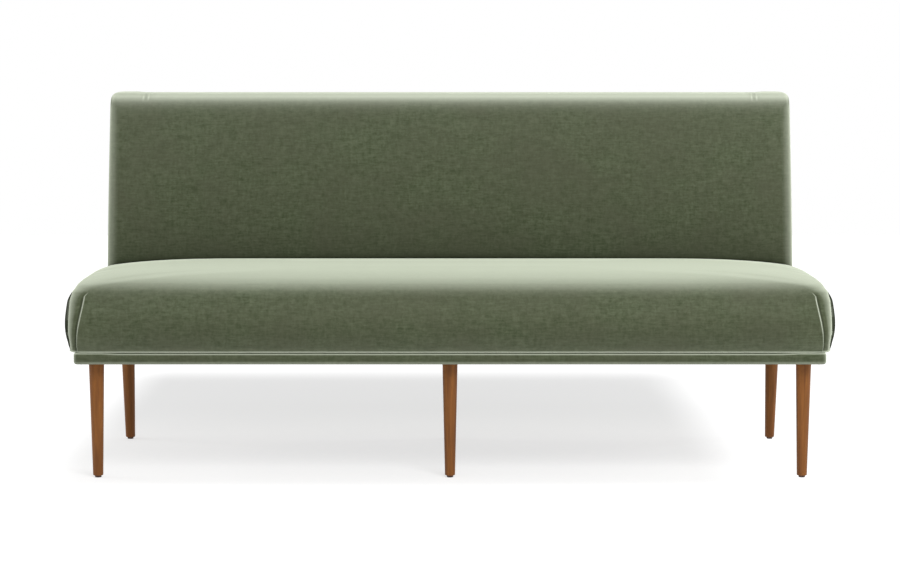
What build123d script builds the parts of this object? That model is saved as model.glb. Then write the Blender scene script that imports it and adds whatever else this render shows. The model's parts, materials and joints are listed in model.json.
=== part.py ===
from build123d import *
from math import atan2, cos, hypot, radians, tan
import os

# Upholstered dining bench with a raked back, on six tapered legs.
# Millimetres. +X is to the right as seen from the front, -Y is the front and +Z is up.
# The pieces are modelled with Y at zero on the platform's front edge and moved to the
# middle of the bench's own box at the very end.

os.makedirs("parts", exist_ok=True)

# Shared by all pieces
fabric = 1.5
clearance = 0.3
overrun = 10

# Platform: a flat rail frame wrapped in a velvet band
platform_length = 1773
platform_depth = 620
platform_thickness = 26
platform_underside = 280
platform_corner_radius = 20
platform_edge_radius = 7
platform_rail_width = 104
cross_rail_width = 104
band_flange = 18
dust_cover_inset = 76
dust_cover_thickness = 0.8

# Legs: round, tapered, the rear row raked back
leg_top_radius = 18.2
leg_foot_radius = 12.1
leg_end_inset = 47
leg_edge_inset = 52
rear_leg_setback = 28
leg_foot_chamfer = 1.6
leg_tilt_margin = 8

# Glides nailed under the legs
glide_radius = 7.8
glide_height = 5
glide_edge_radius = 1.5
glide_nail_radius = 1.2
glide_nail_length = 15

# Leg fixings
bolt_radius = 4
bolt_in_leg = 40
bolt_in_platform = 20
bolt_tip_chamfer = 1
bolt_play = 0.1
tee_barrel_radius = 5.5
tee_barrel_length = 12
tee_flange_radius = 12
tee_flange_thickness = 1.8
tee_flange_depth = 5

# Seat box standing on the platform
box_front_inset = 24
box_end_inset = 24
box_wall = 22
box_height = 90.5
centre_rail_thickness = 22
centre_rail_drop = 20
corner_block_leg = 60
corner_block_nose = 14
corner_block_height = 60
box_screw_radius = 2.2
box_screw_length = 52
box_screw_head_radius = 4.4
box_screw_head_height = 3
box_screw_shares = (-0.78, -0.28, 0.28, 0.78)

# Webbing
strap_width = 60
strap_thickness = 1.6
strap_play = 0.2
strap_end_margin = 5
seat_cross_strap_count = 14
seat_long_strap_count = 4
back_upright_strap_count = 12
back_long_strap_count = 3

# Seat upholstery
seat_crown_height = 186
seat_crevice_drop = 9
seat_foot_overhang = 7.5
seat_front_setback = 2
seat_end_bulge = 20.5
seat_front_bulge = 18
seat_front_corner_radius = 36
seat_rear_corner_radius = 18
# How far the crown's flat top lies in from the ends, as a share of half the seat's length,
# and from the front and the rear, as shares of the seat's depth
end_crown_share = 0.5817
front_crown_share = 0.3962
rear_crown_share = 0.3585
# How much rounder the crown's corners grow towards the top, as shares of the seat's depth
front_corner_growth_share = 0.068
rear_corner_growth_share = 0.034
# Each row of the seat's shape, from the foot up: height, outward bulge, and how far the ends,
# the front and the rear have drawn in over the crown.
seat_side_shares = (
    (0.00, 0.00, 0.000, 0.000, 0.00),
    (0.08, 0.54, 0.000, 0.000, 0.00),
    (0.16, 0.85, 0.000, 0.000, 0.00),
    (0.26, 1.00, 0.000, 0.000, 0.00),
    (0.37, 0.97, 0.000, 0.000, 0.00),
    (0.48, 0.76, 0.000, 0.000, 0.00),
    (0.58, 0.43, 0.000, 0.000, 0.00),
    (0.67, 0.11, 0.000, 0.000, 0.00),
    (0.76, 0.00, 0.012, 0.030, 0.00),
    (0.835, 0.00, 0.033, 0.090, 0.00),
)
seat_crown_shares = (
    (0.835, 0.00, 0.033, 0.090, 0.00),
    (0.863, 0.00, 0.056, 0.125, 0.00),
    (0.89, 0.00, 0.095, 0.175, 0.00),
    (0.925, 0.00, 0.200, 0.270, 0.00),
    (0.955, 0.00, 0.390, 0.430, 0.08),
    (0.98, 0.00, 0.660, 0.660, 0.42),
    (1.00, 0.00, 1.000, 1.000, 1.00),
)

# Backrest upholstery
back_end_setback = 2.5
back_height = 602
back_thickness = 111.73
back_rake = 10
back_crown = 8
back_top_radius = 36
back_end_radius = 15
outside_back_rake = 7
outside_panel_inset = 6
inside_cover_lap = 6

# Back frame
board_thickness = 4
end_post_width = 60
centre_post_width = 60
centre_post_setback = 8
post_foot_depth = 69.5
post_top_depth = 45
top_rail_height = 60
top_roll_thickness = 13.5
lower_rail_rise = 27.5
lower_rail_height = 60
lower_rail_depth = 28

# Lag screws that hold the posts to the seat box
post_screw_radius = 3.5
post_screw_grip = 17
post_screw_head_radius = 7
post_screw_head_height = 4.5
post_screw_head_recess = 8
post_screw_low = 28
post_screw_high = 66

# Levels and lines that follow from the sizes above
platform_top = platform_underside + platform_thickness
platform_half = platform_length / 2
box_top = platform_top + box_height
box_half = platform_half - box_end_inset
post_foot_front = platform_depth - fabric - board_thickness - post_foot_depth
box_rear = post_foot_front
seat_half = platform_half + seat_foot_overhang
seat_top = platform_top + seat_crown_height
crevice_height = seat_crown_height - seat_crevice_drop
crevice_level = platform_top + crevice_height
seat_depth = platform_depth + crevice_height * tan(radians(outside_back_rake)) - back_thickness
seat_end_crown_run = seat_half * end_crown_share
seat_front_crown_run = seat_depth * front_crown_share
seat_rear_crown_run = seat_depth * rear_crown_share
webbing_stack = 2 * strap_thickness + strap_play + clearance
foam_base = box_top + webbing_stack
back_half = platform_half - back_end_setback
back_width = 2 * back_half
back_top = platform_top + back_height
top_rail_top = back_top - fabric - top_roll_thickness
top_rail_base = top_rail_top - top_rail_height
lower_rail_base = box_top + lower_rail_rise


def block(x_low, x_high, y_low, y_high, z_low, z_high):
    # A box given by its six faces.
    middle = ((x_low + x_high) / 2, (y_low + y_high) / 2, (z_low + z_high) / 2)
    return Pos(*middle) * Box(x_high - x_low, y_high - y_low, z_high - z_low)


def side_prism(points, x_low, x_high):
    # A prism along X from an outline of (Y, Z) points.
    face = make_face(Polyline(*points, close=True))
    return Pos(x_low, 0, 0) * extrude(Plane.YZ * face, x_high - x_low)


def plan_prism(points, z_low, z_high):
    # An upright prism from an outline of (X, Y) points.
    face = make_face(Polyline(*points, close=True))
    return Pos(0, 0, z_low) * extrude(face, z_high - z_low)


# Platform


def platform_block(inset):
    # The platform's rounded outside, drawn in all round by the inset.
    size = (platform_length - 2 * inset, platform_depth - 2 * inset)
    plan = RectangleRounded(*size, platform_corner_radius - inset)
    body = extrude(plan, platform_thickness - 2 * inset)
    rims = body.edges().group_by(Axis.Z)
    body = fillet(rims[0] + rims[-1], platform_edge_radius - inset)
    return Pos(0, platform_depth / 2, platform_underside + inset) * body


def platform_window():
    # The flat middle of the platform, inside the band's flanges.
    reach = platform_half - band_flange
    return block(-reach, reach, band_flange, platform_depth - band_flange, platform_underside, platform_top)


def platform_rails():
    # Wooden rails with a rabbet round the rim, where the band lies flush.
    core = platform_block(fabric) + platform_window()
    low, high = platform_underside - overrun, platform_top + overrun
    far = platform_half + overrun
    inner = platform_half - platform_rail_width
    front_line, rear_line = platform_rail_width, platform_depth - platform_rail_width
    cross_half = cross_rail_width / 2
    zones = {
        "platform_front_rail": block(-far, far, -overrun, front_line, low, high),
        "platform_rear_rail": block(-far, far, rear_line, platform_depth + overrun, low, high),
        "platform_left_rail": block(-far, -inner, front_line, rear_line, low, high),
        "platform_right_rail": block(inner, far, front_line, rear_line, low, high),
        "platform_cross_rail": block(-cross_half, cross_half, front_line, rear_line, low, high),
    }
    return {name: core & zone for name, zone in zones.items()}


def band_covers():
    # The velvet band in four strips, mitred at the corners.
    ring = platform_block(0) - platform_block(fabric) - platform_window()
    far, deep = platform_half + overrun, platform_depth + overrun
    step = 2 * band_flange
    inner, back_line = platform_half - step, platform_depth - step
    outlines = {
        "front_band_cover": ((-far, -overrun), (far, -overrun), (inner, step), (-inner, step)),
        "rear_band_cover": ((-far, deep), (far, deep), (inner, back_line), (-inner, back_line)),
        "left_band_cover": ((-far, -overrun), (-inner, step), (-inner, back_line), (-far, deep)),
        "right_band_cover": ((far, -overrun), (inner, step), (inner, back_line), (far, deep)),
    }
    low, high = platform_underside - overrun, platform_top + overrun
    return {name: ring & plan_prism(points, low, high) for name, points in outlines.items()}


def dust_cover():
    # Thin cloth stapled under the rails.
    reach = platform_half - dust_cover_inset
    rear = platform_depth - dust_cover_inset
    low = platform_underside - dust_cover_thickness
    return block(-reach, reach, dust_cover_inset, rear, low, platform_underside)


# Legs, each worked out along its own slanted axis


def leg_stations():
    # Name, place of the top's centre, and how far the foot stands behind it.
    end = platform_half - leg_end_inset
    rear = platform_depth - leg_edge_inset
    return {
        "front_left_leg": (-end, leg_edge_inset, 0),
        "front_centre_leg": (0, leg_edge_inset, 0),
        "front_right_leg": (end, leg_edge_inset, 0),
        "rear_left_leg": (-end, rear, rear_leg_setback),
        "rear_centre_leg": (0, rear, rear_leg_setback),
        "rear_right_leg": (end, rear, rear_leg_setback),
    }


def leg_axis(station):
    # A plane at the leg's top with its Z along the leg, pointing up.
    x, y, setback = station
    run = platform_underside - glide_height
    return Plane(origin=(x, y, platform_underside), x_dir=(1, 0, 0), z_dir=(0, -setback, run))


def leg(station):
    x, y, setback = station
    run = platform_underside - glide_height
    length = hypot(run, setback)
    growth = (leg_top_radius - leg_foot_radius) / length * leg_tilt_margin
    cone = Cone(leg_foot_radius - growth, leg_top_radius + growth, length + 2 * leg_tilt_margin)
    shaft = leg_axis(station) * Pos(0, 0, -length / 2) * cone
    reach = leg_top_radius + setback + overrun
    shaft = shaft & block(x - reach, x + reach, y - reach, y + reach, glide_height, platform_underside)
    shaft = chamfer(shaft.edges().group_by(Axis.Z)[0], leg_foot_chamfer)
    bore = Cylinder(bolt_radius + bolt_play, 2 * bolt_in_leg)
    nail_hole = Cylinder(glide_nail_radius + bolt_play, 2 * glide_nail_length)
    return shaft - leg_axis(station) * bore - Pos(x, y + setback, glide_height) * nail_hole


def hanger_bolt(station):
    length = bolt_in_leg + bolt_in_platform
    shank = chamfer(Cylinder(bolt_radius, length).edges(), bolt_tip_chamfer)
    return leg_axis(station) * Pos(0, 0, bolt_in_platform - length / 2) * shank


def tee_seat():
    # Height of the tee nut's flange above the platform's underside, along the leg's axis.
    return platform_thickness - tee_flange_depth


def tee_nut(station):
    barrel = Pos(0, 0, tee_seat() - tee_barrel_length / 2) * Cylinder(tee_barrel_radius, tee_barrel_length)
    flange = Pos(0, 0, tee_seat() + tee_flange_thickness / 2) * Cylinder(tee_flange_radius, tee_flange_thickness)
    bore = Cylinder(bolt_radius + bolt_play, 2 * platform_thickness)
    return leg_axis(station) * (barrel + flange - bore)


def leg_fixing_bore(station):
    # What is drilled out of the platform for one leg.
    shank = Cylinder(bolt_radius + bolt_play, 2 * platform_thickness)
    middle = tee_seat() - tee_barrel_length / 2
    barrel = Pos(0, 0, middle) * Cylinder(tee_barrel_radius + bolt_play, tee_barrel_length)
    flange = Cylinder(tee_flange_radius + bolt_play, platform_thickness)
    return leg_axis(station) * (shank + barrel + Pos(0, 0, tee_seat() + platform_thickness / 2) * flange)


def foot_glide(station):
    x, y, setback = station
    pad = Pos(0, 0, glide_height / 2) * Cylinder(glide_radius, glide_height)
    pad = fillet(pad.edges().group_by(Axis.Z)[0], glide_edge_radius)
    nail = Pos(0, 0, glide_height + glide_nail_length / 2) * Cylinder(glide_nail_radius, glide_nail_length)
    return Pos(x, y + setback, 0) * (pad + nail)


# Seat box


def box_rails():
    front_face = box_front_inset + box_wall
    rear_face = box_rear - box_wall
    inner = box_half - box_wall
    half = centre_rail_thickness / 2
    low_top = box_top - centre_rail_drop
    return {
        "seat_front_rail": block(-box_half, box_half, box_front_inset, front_face, platform_top, box_top),
        "seat_rear_rail": block(-box_half, box_half, rear_face, box_rear, platform_top, box_top),
        "seat_left_rail": block(-box_half, -inner, front_face, rear_face, platform_top, box_top),
        "seat_right_rail": block(inner, box_half, front_face, rear_face, platform_top, box_top),
        "seat_centre_rail": block(-half, half, front_face, rear_face, platform_top, low_top),
    }


def corner_blocks():
    # Clipped triangular blocks glued into the four inside corners of the box.
    leg_run, nose = corner_block_leg, corner_block_nose
    outline = ((0, 0), (leg_run, 0), (leg_run, nose), (nose, leg_run), (0, leg_run))
    inner = box_half - box_wall
    front_face = box_front_inset + box_wall
    rear_face = box_rear - box_wall
    blocks = []
    for x, x_way in ((-inner, 1), (inner, -1)):
        for y, y_way in ((front_face, 1), (rear_face, -1)):
            points = [(x + x_way * a, y + y_way * b) for a, b in outline]
            blocks.append(plan_prism(points, platform_top, platform_top + corner_block_height))
    return blocks


def box_screw_places():
    front_line = box_front_inset + box_wall / 2
    rear_line = box_rear - box_wall / 2
    return [(box_half * share, y) for y in (front_line, rear_line) for share in box_screw_shares]


def box_screw(place, play):
    # A countersunk screw driven up through the platform into the box.
    x, y = place
    shank = Pos(0, 0, box_screw_length / 2) * Cylinder(box_screw_radius + play, box_screw_length)
    head = Cone(box_screw_head_radius + play, box_screw_radius + play, box_screw_head_height)
    return Pos(x, y, platform_underside) * (shank + Pos(0, 0, box_screw_head_height / 2) * head)


# Webbing, woven flat in its own plane: X along the bench, Y across the opening, Z off the frame


def woven_webbing(reach_x, inner_x, low_y, high_y, inner_low, inner_high, counts):
    # Cross straps lie flat. Long straps pass over and under them in turn.
    cross, long = [], []
    cross_count, long_count = counts
    cross_pitch = 2 * inner_x / cross_count
    long_pitch = (inner_high - inner_low) / long_count
    places = [-inner_x + cross_pitch * (k + 1 / 2) for k in range(cross_count)]
    for x in places:
        half = strap_width / 2
        cross.append(block(x - half, x + half, low_y, high_y, 0, strap_thickness))
    rise = strap_thickness + strap_play
    for row in range(long_count):
        path = [(-reach_x, 0), (-inner_x, 0)]
        for k, x in enumerate(places):
            level = rise if (k + row) % 2 else -rise
            path += [(x - strap_width / 2, level), (x + strap_width / 2, level)]
        path += [(inner_x, 0), (reach_x, 0)]
        upper = [(x, z + strap_thickness) for x, z in reversed(path)]
        face = make_face(Polyline(*path, *upper, close=True))
        y = inner_low + long_pitch * (row + 1 / 2)
        strap = extrude(Plane.XZ * face, strap_width)
        long.append(Pos(0, y + strap_width / 2, 0) * strap)
    return cross, long


def seat_webbing():
    reach = box_half - strap_end_margin
    front = box_front_inset + strap_end_margin
    rear = box_rear - strap_end_margin
    inner = box_half - box_wall
    inner_front = box_front_inset + box_wall
    inner_rear = box_rear - box_wall
    counts = (seat_cross_strap_count, seat_long_strap_count)
    cross, long = woven_webbing(reach, inner, front, rear, inner_front, inner_rear, counts)
    return [Pos(0, 0, box_top) * s for s in cross], [Pos(0, 0, box_top) * s for s in long]


# Lines of the backrest, seen from the end


def inside_line(z):
    # Front face of the backrest: a raked line with a shallow crown.
    def crown(level):
        share = (level - platform_top) / back_height
        return 4 * back_crown * share * (1 - share)

    foot = seat_depth - crevice_height * tan(radians(back_rake)) + crown(crevice_level)
    return foot + (z - platform_top) * tan(radians(back_rake)) - crown(z)


def outside_line(z):
    return platform_depth + (z - platform_top) * tan(radians(outside_back_rake))


def board_line(z):
    # Rear face of the back frame, which the board lies on.
    return outside_line(z) - fabric - board_thickness


def frame_slope():
    # How far the frame's front face leans back for each unit of height.
    top_front = board_line(top_rail_top) - post_top_depth
    return (top_front - post_foot_front) / (top_rail_top - box_top)


def frame_line(z):
    return post_foot_front + max(z - box_top, 0) * frame_slope()


# Seat upholstery


def seat_row(row, inset):
    # One level outline of the seat: straight sides with round corners.
    height, bulge, ends, front, rear = row
    z = platform_top + clearance + height * (seat_crown_height - clearance - inset)
    half = seat_half + seat_end_bulge * bulge - seat_end_crown_run * ends - inset
    y_low = seat_front_setback - seat_front_bulge * bulge + seat_front_crown_run * front + inset
    y_high = inside_line(z) - clearance - seat_rear_crown_run * rear - inset
    front_radius = seat_front_corner_radius + seat_depth * front_corner_growth_share * ends - inset
    rear_radius = seat_rear_corner_radius + seat_depth * rear_corner_growth_share * ends - inset
    a = (-half + front_radius, y_low)
    b = (half - front_radius, y_low)
    c = (half, y_low + front_radius)
    d = (half, y_high - rear_radius)
    e = (half - rear_radius, y_high)
    f = (-half + rear_radius, y_high)
    g = (-half, y_high - rear_radius)
    h = (-half, y_low + front_radius)
    outline = [
        Line(a, b),
        RadiusArc(b, c, -front_radius),
        Line(c, d),
        RadiusArc(d, e, -rear_radius),
        Line(e, f),
        RadiusArc(f, g, -rear_radius),
        Line(g, h),
        RadiusArc(h, a, -front_radius),
    ]
    return Pos(0, 0, z) * make_face(Wire(outline))


def seat_body(inset):
    # Smooth bulging sides up to the shoulder, and the low crown above it.
    sides = loft([seat_row(row, inset) for row in seat_side_shares])
    crown = loft([seat_row(row, inset) for row in seat_crown_shares], ruled=True)
    return sides + crown


def seat_pads():
    # The foam slab over the webbing and the rolls round the box below it.
    filling = seat_body(fabric)
    far, rear = platform_length, platform_depth
    low = platform_top - overrun
    high = seat_top + overrun
    return {
        "seat_foam": filling & block(-far, far, -rear, rear, foam_base, high),
        "front_foam_roll": filling & block(-far, far, -rear, box_front_inset, low, foam_base),
        "left_foam_roll": filling & block(-far, -box_half, box_front_inset, rear, low, foam_base),
        "right_foam_roll": filling & block(box_half, far, box_front_inset, rear, low, foam_base),
    }


def seat_cover():
    # The velvet skin. Behind the box it only reaches down to the webbing.
    skin = seat_body(0) - seat_body(fabric)
    reach = box_half + clearance
    low = platform_top - overrun
    return skin - block(-reach, reach, box_front_inset, platform_depth, low, foam_base)


# Backrest upholstery


def back_body(inset):
    # The whole padded back: a raked slab, crowned in front, round at the top and the ends.
    top = back_top - inset
    middle = (platform_top + top) / 2
    foot = (inside_line(platform_top) + inset, platform_top)
    outline = [
        ThreePointArc(foot, (inside_line(middle) + inset, middle), (inside_line(top) + inset, top)),
        Line((inside_line(top) + inset, top), (outside_line(top) - inset, top)),
        Line((outside_line(top) - inset, top), (outside_line(platform_top) - inset, platform_top)),
        Line((outside_line(platform_top) - inset, platform_top), foot),
    ]
    half = back_half - inset
    slab = Pos(-half, 0, 0) * extrude(Plane.YZ * make_face(Wire(outline)), 2 * half)
    top_edges = slab.edges().filter_by(Axis.X).group_by(Axis.Z)[-1]
    slab = fillet(top_edges.sort_by(Axis.Y)[0], back_top_radius - inset)
    sides = slab.faces().sort_by(Axis.X)
    soft = [edge for side in (sides[0], sides[-1]) for edge in side.edges() if end_edge_is_soft(edge)]
    return fillet(soft, back_end_radius - inset)


def end_edge_is_soft(edge):
    # The front and top edges of an end face, not its foot or its rear edge.
    middle = edge.center()
    above_foot = middle.Z > platform_top + clearance
    return above_foot and middle.Y < outside_line(middle.Z) - overrun


def outside_panel(margin_low, margin_high):
    # The raked slice behind the frame, between two distances in from the outside face.
    top = back_top - outside_panel_inset
    points = (
        (outside_line(platform_top) - margin_low, platform_top),
        (outside_line(top) - margin_low, top),
        (outside_line(top) - margin_high, top),
        (outside_line(platform_top) - margin_high, platform_top),
    )
    reach = back_half - outside_panel_inset
    return side_prism(points, -reach, reach)


def back_covers():
    shell = back_body(0) - back_body(fabric)
    panel = outside_panel(fabric, 0)
    reach = back_half - back_end_radius
    hidden_top = lower_rail_base + inside_cover_lap
    hidden = block(-reach, reach, 0, post_foot_front, platform_top - overrun, hidden_top)
    return {"inside_back_cover": shell - panel - hidden, "outside_back_cover": panel}


def back_board():
    # A stiff board across the back of the frame.
    points = (
        (board_line(platform_top), platform_top),
        (board_line(top_rail_top), top_rail_top),
        (board_line(top_rail_top) + board_thickness, top_rail_top),
        (board_line(platform_top) + board_thickness, platform_top),
    )
    reach = back_half - fabric
    return side_prism(points, -reach, reach)


def back_pads():
    # The foam slab in front of the webbing, and the roll over the top rail that finishes it.
    filling = back_body(fabric + clearance)
    behind = 2 * platform_depth
    slab_rear = frame_line(top_rail_top) - webbing_stack
    taken = (
        (frame_line(foam_base) - webbing_stack, foam_base),
        (slab_rear, top_rail_top),
        (behind, top_rail_top),
        (behind, foam_base),
    )
    slab_zone = block(-back_width, back_width, 0, behind, foam_base, top_rail_top)
    roll_zone = block(-back_width, back_width, 0, behind, top_rail_top, back_top + overrun)
    return {
        "back_foam": (filling & slab_zone) - side_prism(taken, -back_width, back_width),
        "back_top_roll": filling & roll_zone,
    }


# Back frame


def back_post(x_low, x_high, setback):
    # A post that is set back stands behind the webbing, on a step at the box's top.
    points = [(post_foot_front, platform_top), (post_foot_front, box_top)]
    if setback:
        points.append((frame_line(box_top) + setback, box_top))
    points += [
        (frame_line(top_rail_base) + setback, top_rail_base),
        (board_line(top_rail_base), top_rail_base),
        (board_line(platform_top), platform_top),
    ]
    return side_prism(points, x_low, x_high)


def frame_slice(z_low, z_high, depth, x_low, x_high):
    # A rail whose front face lies in the plane of the posts' front faces.
    points = (
        (frame_line(z_low), z_low),
        (frame_line(z_high), z_high),
        (frame_line(z_high) + depth, z_high),
        (frame_line(z_low) + depth, z_low),
    )
    return side_prism(points, x_low, x_high)


def top_rail():
    points = (
        (frame_line(top_rail_base), top_rail_base),
        (frame_line(top_rail_top), top_rail_top),
        (board_line(top_rail_top), top_rail_top),
        (board_line(top_rail_base), top_rail_base),
    )
    reach = back_half - fabric
    return side_prism(points, -reach, reach)


def back_frame():
    outer = back_half - fabric
    inner = outer - end_post_width
    half = centre_post_width / 2
    rail = (lower_rail_base, lower_rail_base + lower_rail_height, lower_rail_depth)
    return {
        "left_back_post": back_post(-outer, -inner, 0),
        "centre_back_post": back_post(-half, half, centre_post_setback),
        "right_back_post": back_post(inner, outer, 0),
        "back_top_rail": top_rail(),
        "left_lower_back_rail": frame_slice(*rail, -inner, -half),
        "right_lower_back_rail": frame_slice(*rail, half, inner),
    }


def back_webbing():
    # Woven in the plane of the frame's front face, from the lower rails to the top rail.
    outer = back_half - fabric
    stretch = 1 / cos(atan2(frame_slope(), 1))
    foot = (0, frame_line(lower_rail_base), lower_rail_base)
    plane = Plane(origin=foot, x_dir=(1, 0, 0), z_dir=(0, -1, frame_slope()))
    low = strap_end_margin
    high = (top_rail_top - lower_rail_base) * stretch - strap_end_margin
    inner_low = lower_rail_height * stretch
    inner_high = (top_rail_base - lower_rail_base) * stretch
    reach = outer - strap_end_margin
    inner = outer - end_post_width
    counts = (back_upright_strap_count, back_long_strap_count)
    upright, long = woven_webbing(reach, inner, low, high, inner_low, inner_high, counts)
    return [plane * s for s in upright], [plane * s for s in long]


# Lag screws through each post into the seat box's rear rail


def post_screw_places():
    end = (box_half + back_half - fabric - end_post_width) / 2
    levels = (platform_top + post_screw_low, platform_top + post_screw_high)
    return [(x, z) for x in (-end, 0, end) for z in levels]


def along_y(radius, x, y_low, y_high, z):
    # A round bar lying along Y.
    length = y_high - y_low
    return Pos(x, y_low + length / 2, z) * Rot(90, 0, 0) * Cylinder(radius, length)


def post_screw(place, play):
    x, z = place
    head_base = board_line(z) - post_screw_head_recess
    shank = along_y(post_screw_radius + play, x, box_rear - post_screw_grip, head_base, z)
    head_end = head_base + post_screw_head_height
    return shank + along_y(post_screw_head_radius + play, x, head_base, head_end, z)


def post_screw_bore(place):
    # The screw's own hole, with the head's recess open to the rear.
    x, z = place
    head_base = board_line(z) - post_screw_head_recess
    recess = along_y(post_screw_head_radius + bolt_play, x, head_base, board_line(z) + overrun, z)
    return post_screw(place, bolt_play) + recess


def bench():
    stations = leg_stations()
    screws = box_screw_places()
    post_screws = post_screw_places()
    pieces = {}
    pieces.update(platform_rails())
    for name in ("platform_front_rail", "platform_rear_rail"):
        for station in stations.values():
            pieces[name] = pieces[name] - leg_fixing_bore(station)
        for place in screws:
            pieces[name] = pieces[name] - box_screw(place, bolt_play)
    pieces.update(band_covers())
    pieces["dust_cover"] = dust_cover()
    for name, station in stations.items():
        pieces[name] = leg(station)
    pieces["hanger_bolts"] = [hanger_bolt(station) for station in stations.values()]
    pieces["leg_tee_nuts"] = [tee_nut(station) for station in stations.values()]
    pieces["foot_glides"] = [foot_glide(station) for station in stations.values()]
    pieces.update(box_rails())
    for name in ("seat_front_rail", "seat_rear_rail"):
        for place in screws:
            pieces[name] = pieces[name] - box_screw(place, bolt_play)
    pieces["seat_corner_blocks"] = corner_blocks()
    pieces["seat_box_screws"] = [box_screw(place, 0) for place in screws]
    pieces["seat_cross_webbing"], pieces["seat_long_webbing"] = seat_webbing()
    pieces.update(seat_pads())
    pieces["seat_cover"] = seat_cover()
    pieces.update(back_frame())
    for place in post_screws:
        for name in ("left_back_post", "centre_back_post", "right_back_post", "seat_rear_rail"):
            pieces[name] = pieces[name] - post_screw_bore(place)
    pieces["back_post_screws"] = [post_screw(place, 0) for place in post_screws]
    pieces["back_upright_webbing"], pieces["back_long_webbing"] = back_webbing()
    pieces.update(back_pads())
    pieces.update(back_covers())
    pieces["outside_back_board"] = back_board()
    return {name: as_shape(piece) for name, piece in pieces.items()}


def as_shape(piece):
    # One compound of all the solids of a piece.
    parts = piece if isinstance(piece, list) else [piece]
    return Compound([solid for part in parts for solid in part.solids()])


pieces = bench()
box = Compound(list(pieces.values())).bounding_box()
to_middle = Pos(0, -(box.min.Y + box.max.Y) / 2, 0)
for name, piece in pieces.items():
    export_step(to_middle * piece, f"parts/{name}.step")
print("pieces", len(pieces), "size", box.size)
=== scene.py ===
import json
import math
import bpy
import numpy as np
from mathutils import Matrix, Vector


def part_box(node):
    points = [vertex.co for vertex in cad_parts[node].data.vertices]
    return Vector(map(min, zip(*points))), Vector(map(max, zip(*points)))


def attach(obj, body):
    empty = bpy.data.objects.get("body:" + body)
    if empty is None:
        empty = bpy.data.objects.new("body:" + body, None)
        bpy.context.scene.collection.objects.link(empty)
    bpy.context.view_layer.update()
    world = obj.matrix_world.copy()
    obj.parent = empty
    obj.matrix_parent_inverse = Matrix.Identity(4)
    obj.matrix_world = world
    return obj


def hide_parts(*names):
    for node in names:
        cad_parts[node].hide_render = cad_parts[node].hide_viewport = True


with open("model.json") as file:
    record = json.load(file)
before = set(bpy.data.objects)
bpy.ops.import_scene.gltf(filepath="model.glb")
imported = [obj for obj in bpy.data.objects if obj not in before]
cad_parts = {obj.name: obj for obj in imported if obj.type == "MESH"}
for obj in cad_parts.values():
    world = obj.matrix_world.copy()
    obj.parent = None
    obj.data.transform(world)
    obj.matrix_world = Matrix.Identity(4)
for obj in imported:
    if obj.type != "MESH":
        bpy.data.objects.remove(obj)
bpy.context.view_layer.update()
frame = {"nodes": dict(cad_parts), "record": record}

nodes = frame["nodes"]
body = "root"

# Lengths under this count as nothing, faces this level as flat, and edges over this angle as sharp
tiny, facingShare, sharpAngle = 1e-5, 0.999, 35

# Lines that the pieces share, read from the frame
bandLow = Vector([min(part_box(n)[0][a] for n in ("front_band_cover", "left_band_cover")) for a in range(3)])
bandHigh = Vector([max(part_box(n)[1][a] for n in ("rear_band_cover", "right_band_cover")) for a in range(3)])
platformFront, platformRear = bandLow.y, bandHigh.y
platformTop, platformHalf = bandHigh.z, bandHigh.x
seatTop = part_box("seat_cover")[1].z
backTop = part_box("inside_back_cover")[1].z
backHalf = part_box("inside_back_cover")[1].x
print("frame loaded: seat top %.3f, back top %.3f, half length %.4f" % (seatTop, backTop, platformHalf))


# Small helpers for working in edit mode

def deselectAll():
    bpy.ops.object.select_all(action="DESELECT")


def makeActive(piece):
    deselectAll()
    piece.select_set(True)
    bpy.context.view_layer.objects.active = piece


def newPiece(name):
    piece = bpy.context.object
    piece.name = name
    piece.data.name = name
    return piece


def editMode(kind):
    bpy.ops.object.mode_set(mode="EDIT")
    bpy.ops.mesh.select_mode(type=kind)


def objectMode():
    bpy.ops.object.mode_set(mode="OBJECT")


def placeInMesh(piece):
    makeActive(piece)
    bpy.ops.object.transform_apply(location=True, rotation=True, scale=True)


def applyModifiers(piece):
    makeActive(piece)
    for modifier in list(piece.modifiers):
        bpy.ops.object.modifier_apply(modifier=modifier.name)


def makeFiner(piece, levels=1):
    finer = piece.modifiers.new("finer", "SUBSURF")
    finer.levels = finer.render_levels = levels
    applyModifiers(piece)


def clearSelection(mesh):
    for group in (mesh.vertices, mesh.edges, mesh.polygons):
        group.foreach_set("select", np.zeros(len(group), bool))


def pickFaces(piece, test):
    # test gets a face's centre and normal
    clearSelection(piece.data)
    for face in piece.data.polygons:
        face.select = test(face.center, face.normal)


def pickEdges(piece, test):
    # test gets an edge's two ends
    clearSelection(piece.data)
    points = piece.data.vertices
    for edge in piece.data.edges:
        edge.select = test(points[edge.vertices[0]].co, points[edge.vertices[1]].co)


def pickRims(piece):
    # Goes into edit mode with the open rims of the piece selected
    clearSelection(piece.data)
    makeActive(piece)
    editMode("EDGE")
    bpy.ops.mesh.select_all(action="DESELECT")
    bpy.ops.mesh.select_non_manifold(extend=False, use_boundary=True, use_wire=False)


def pickAll():
    editMode("FACE")
    bpy.ops.mesh.select_all(action="SELECT")


def fillRim(inset):
    # Fills the selected rim, draws two rings into the flat face and leaves edit mode
    bpy.ops.mesh.edge_face_add()
    bpy.ops.mesh.select_mode(type="FACE")
    bpy.ops.mesh.inset(thickness=inset)
    bpy.ops.mesh.inset(thickness=inset)
    objectMode()


def cutAcross(place, direction, **sides):
    # Cuts the active piece with a plane; sides says which side goes and if the cut is filled
    pickAll()
    bpy.ops.mesh.bisect(plane_co=place, plane_no=direction, **sides)
    objectMode()


def roundEdges(piece, test, width, segments):
    pickEdges(piece, test)
    editMode("EDGE")
    bpy.ops.mesh.bevel(offset=width, segments=segments, affect="EDGES", profile=0.5)
    objectMode()


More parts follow.
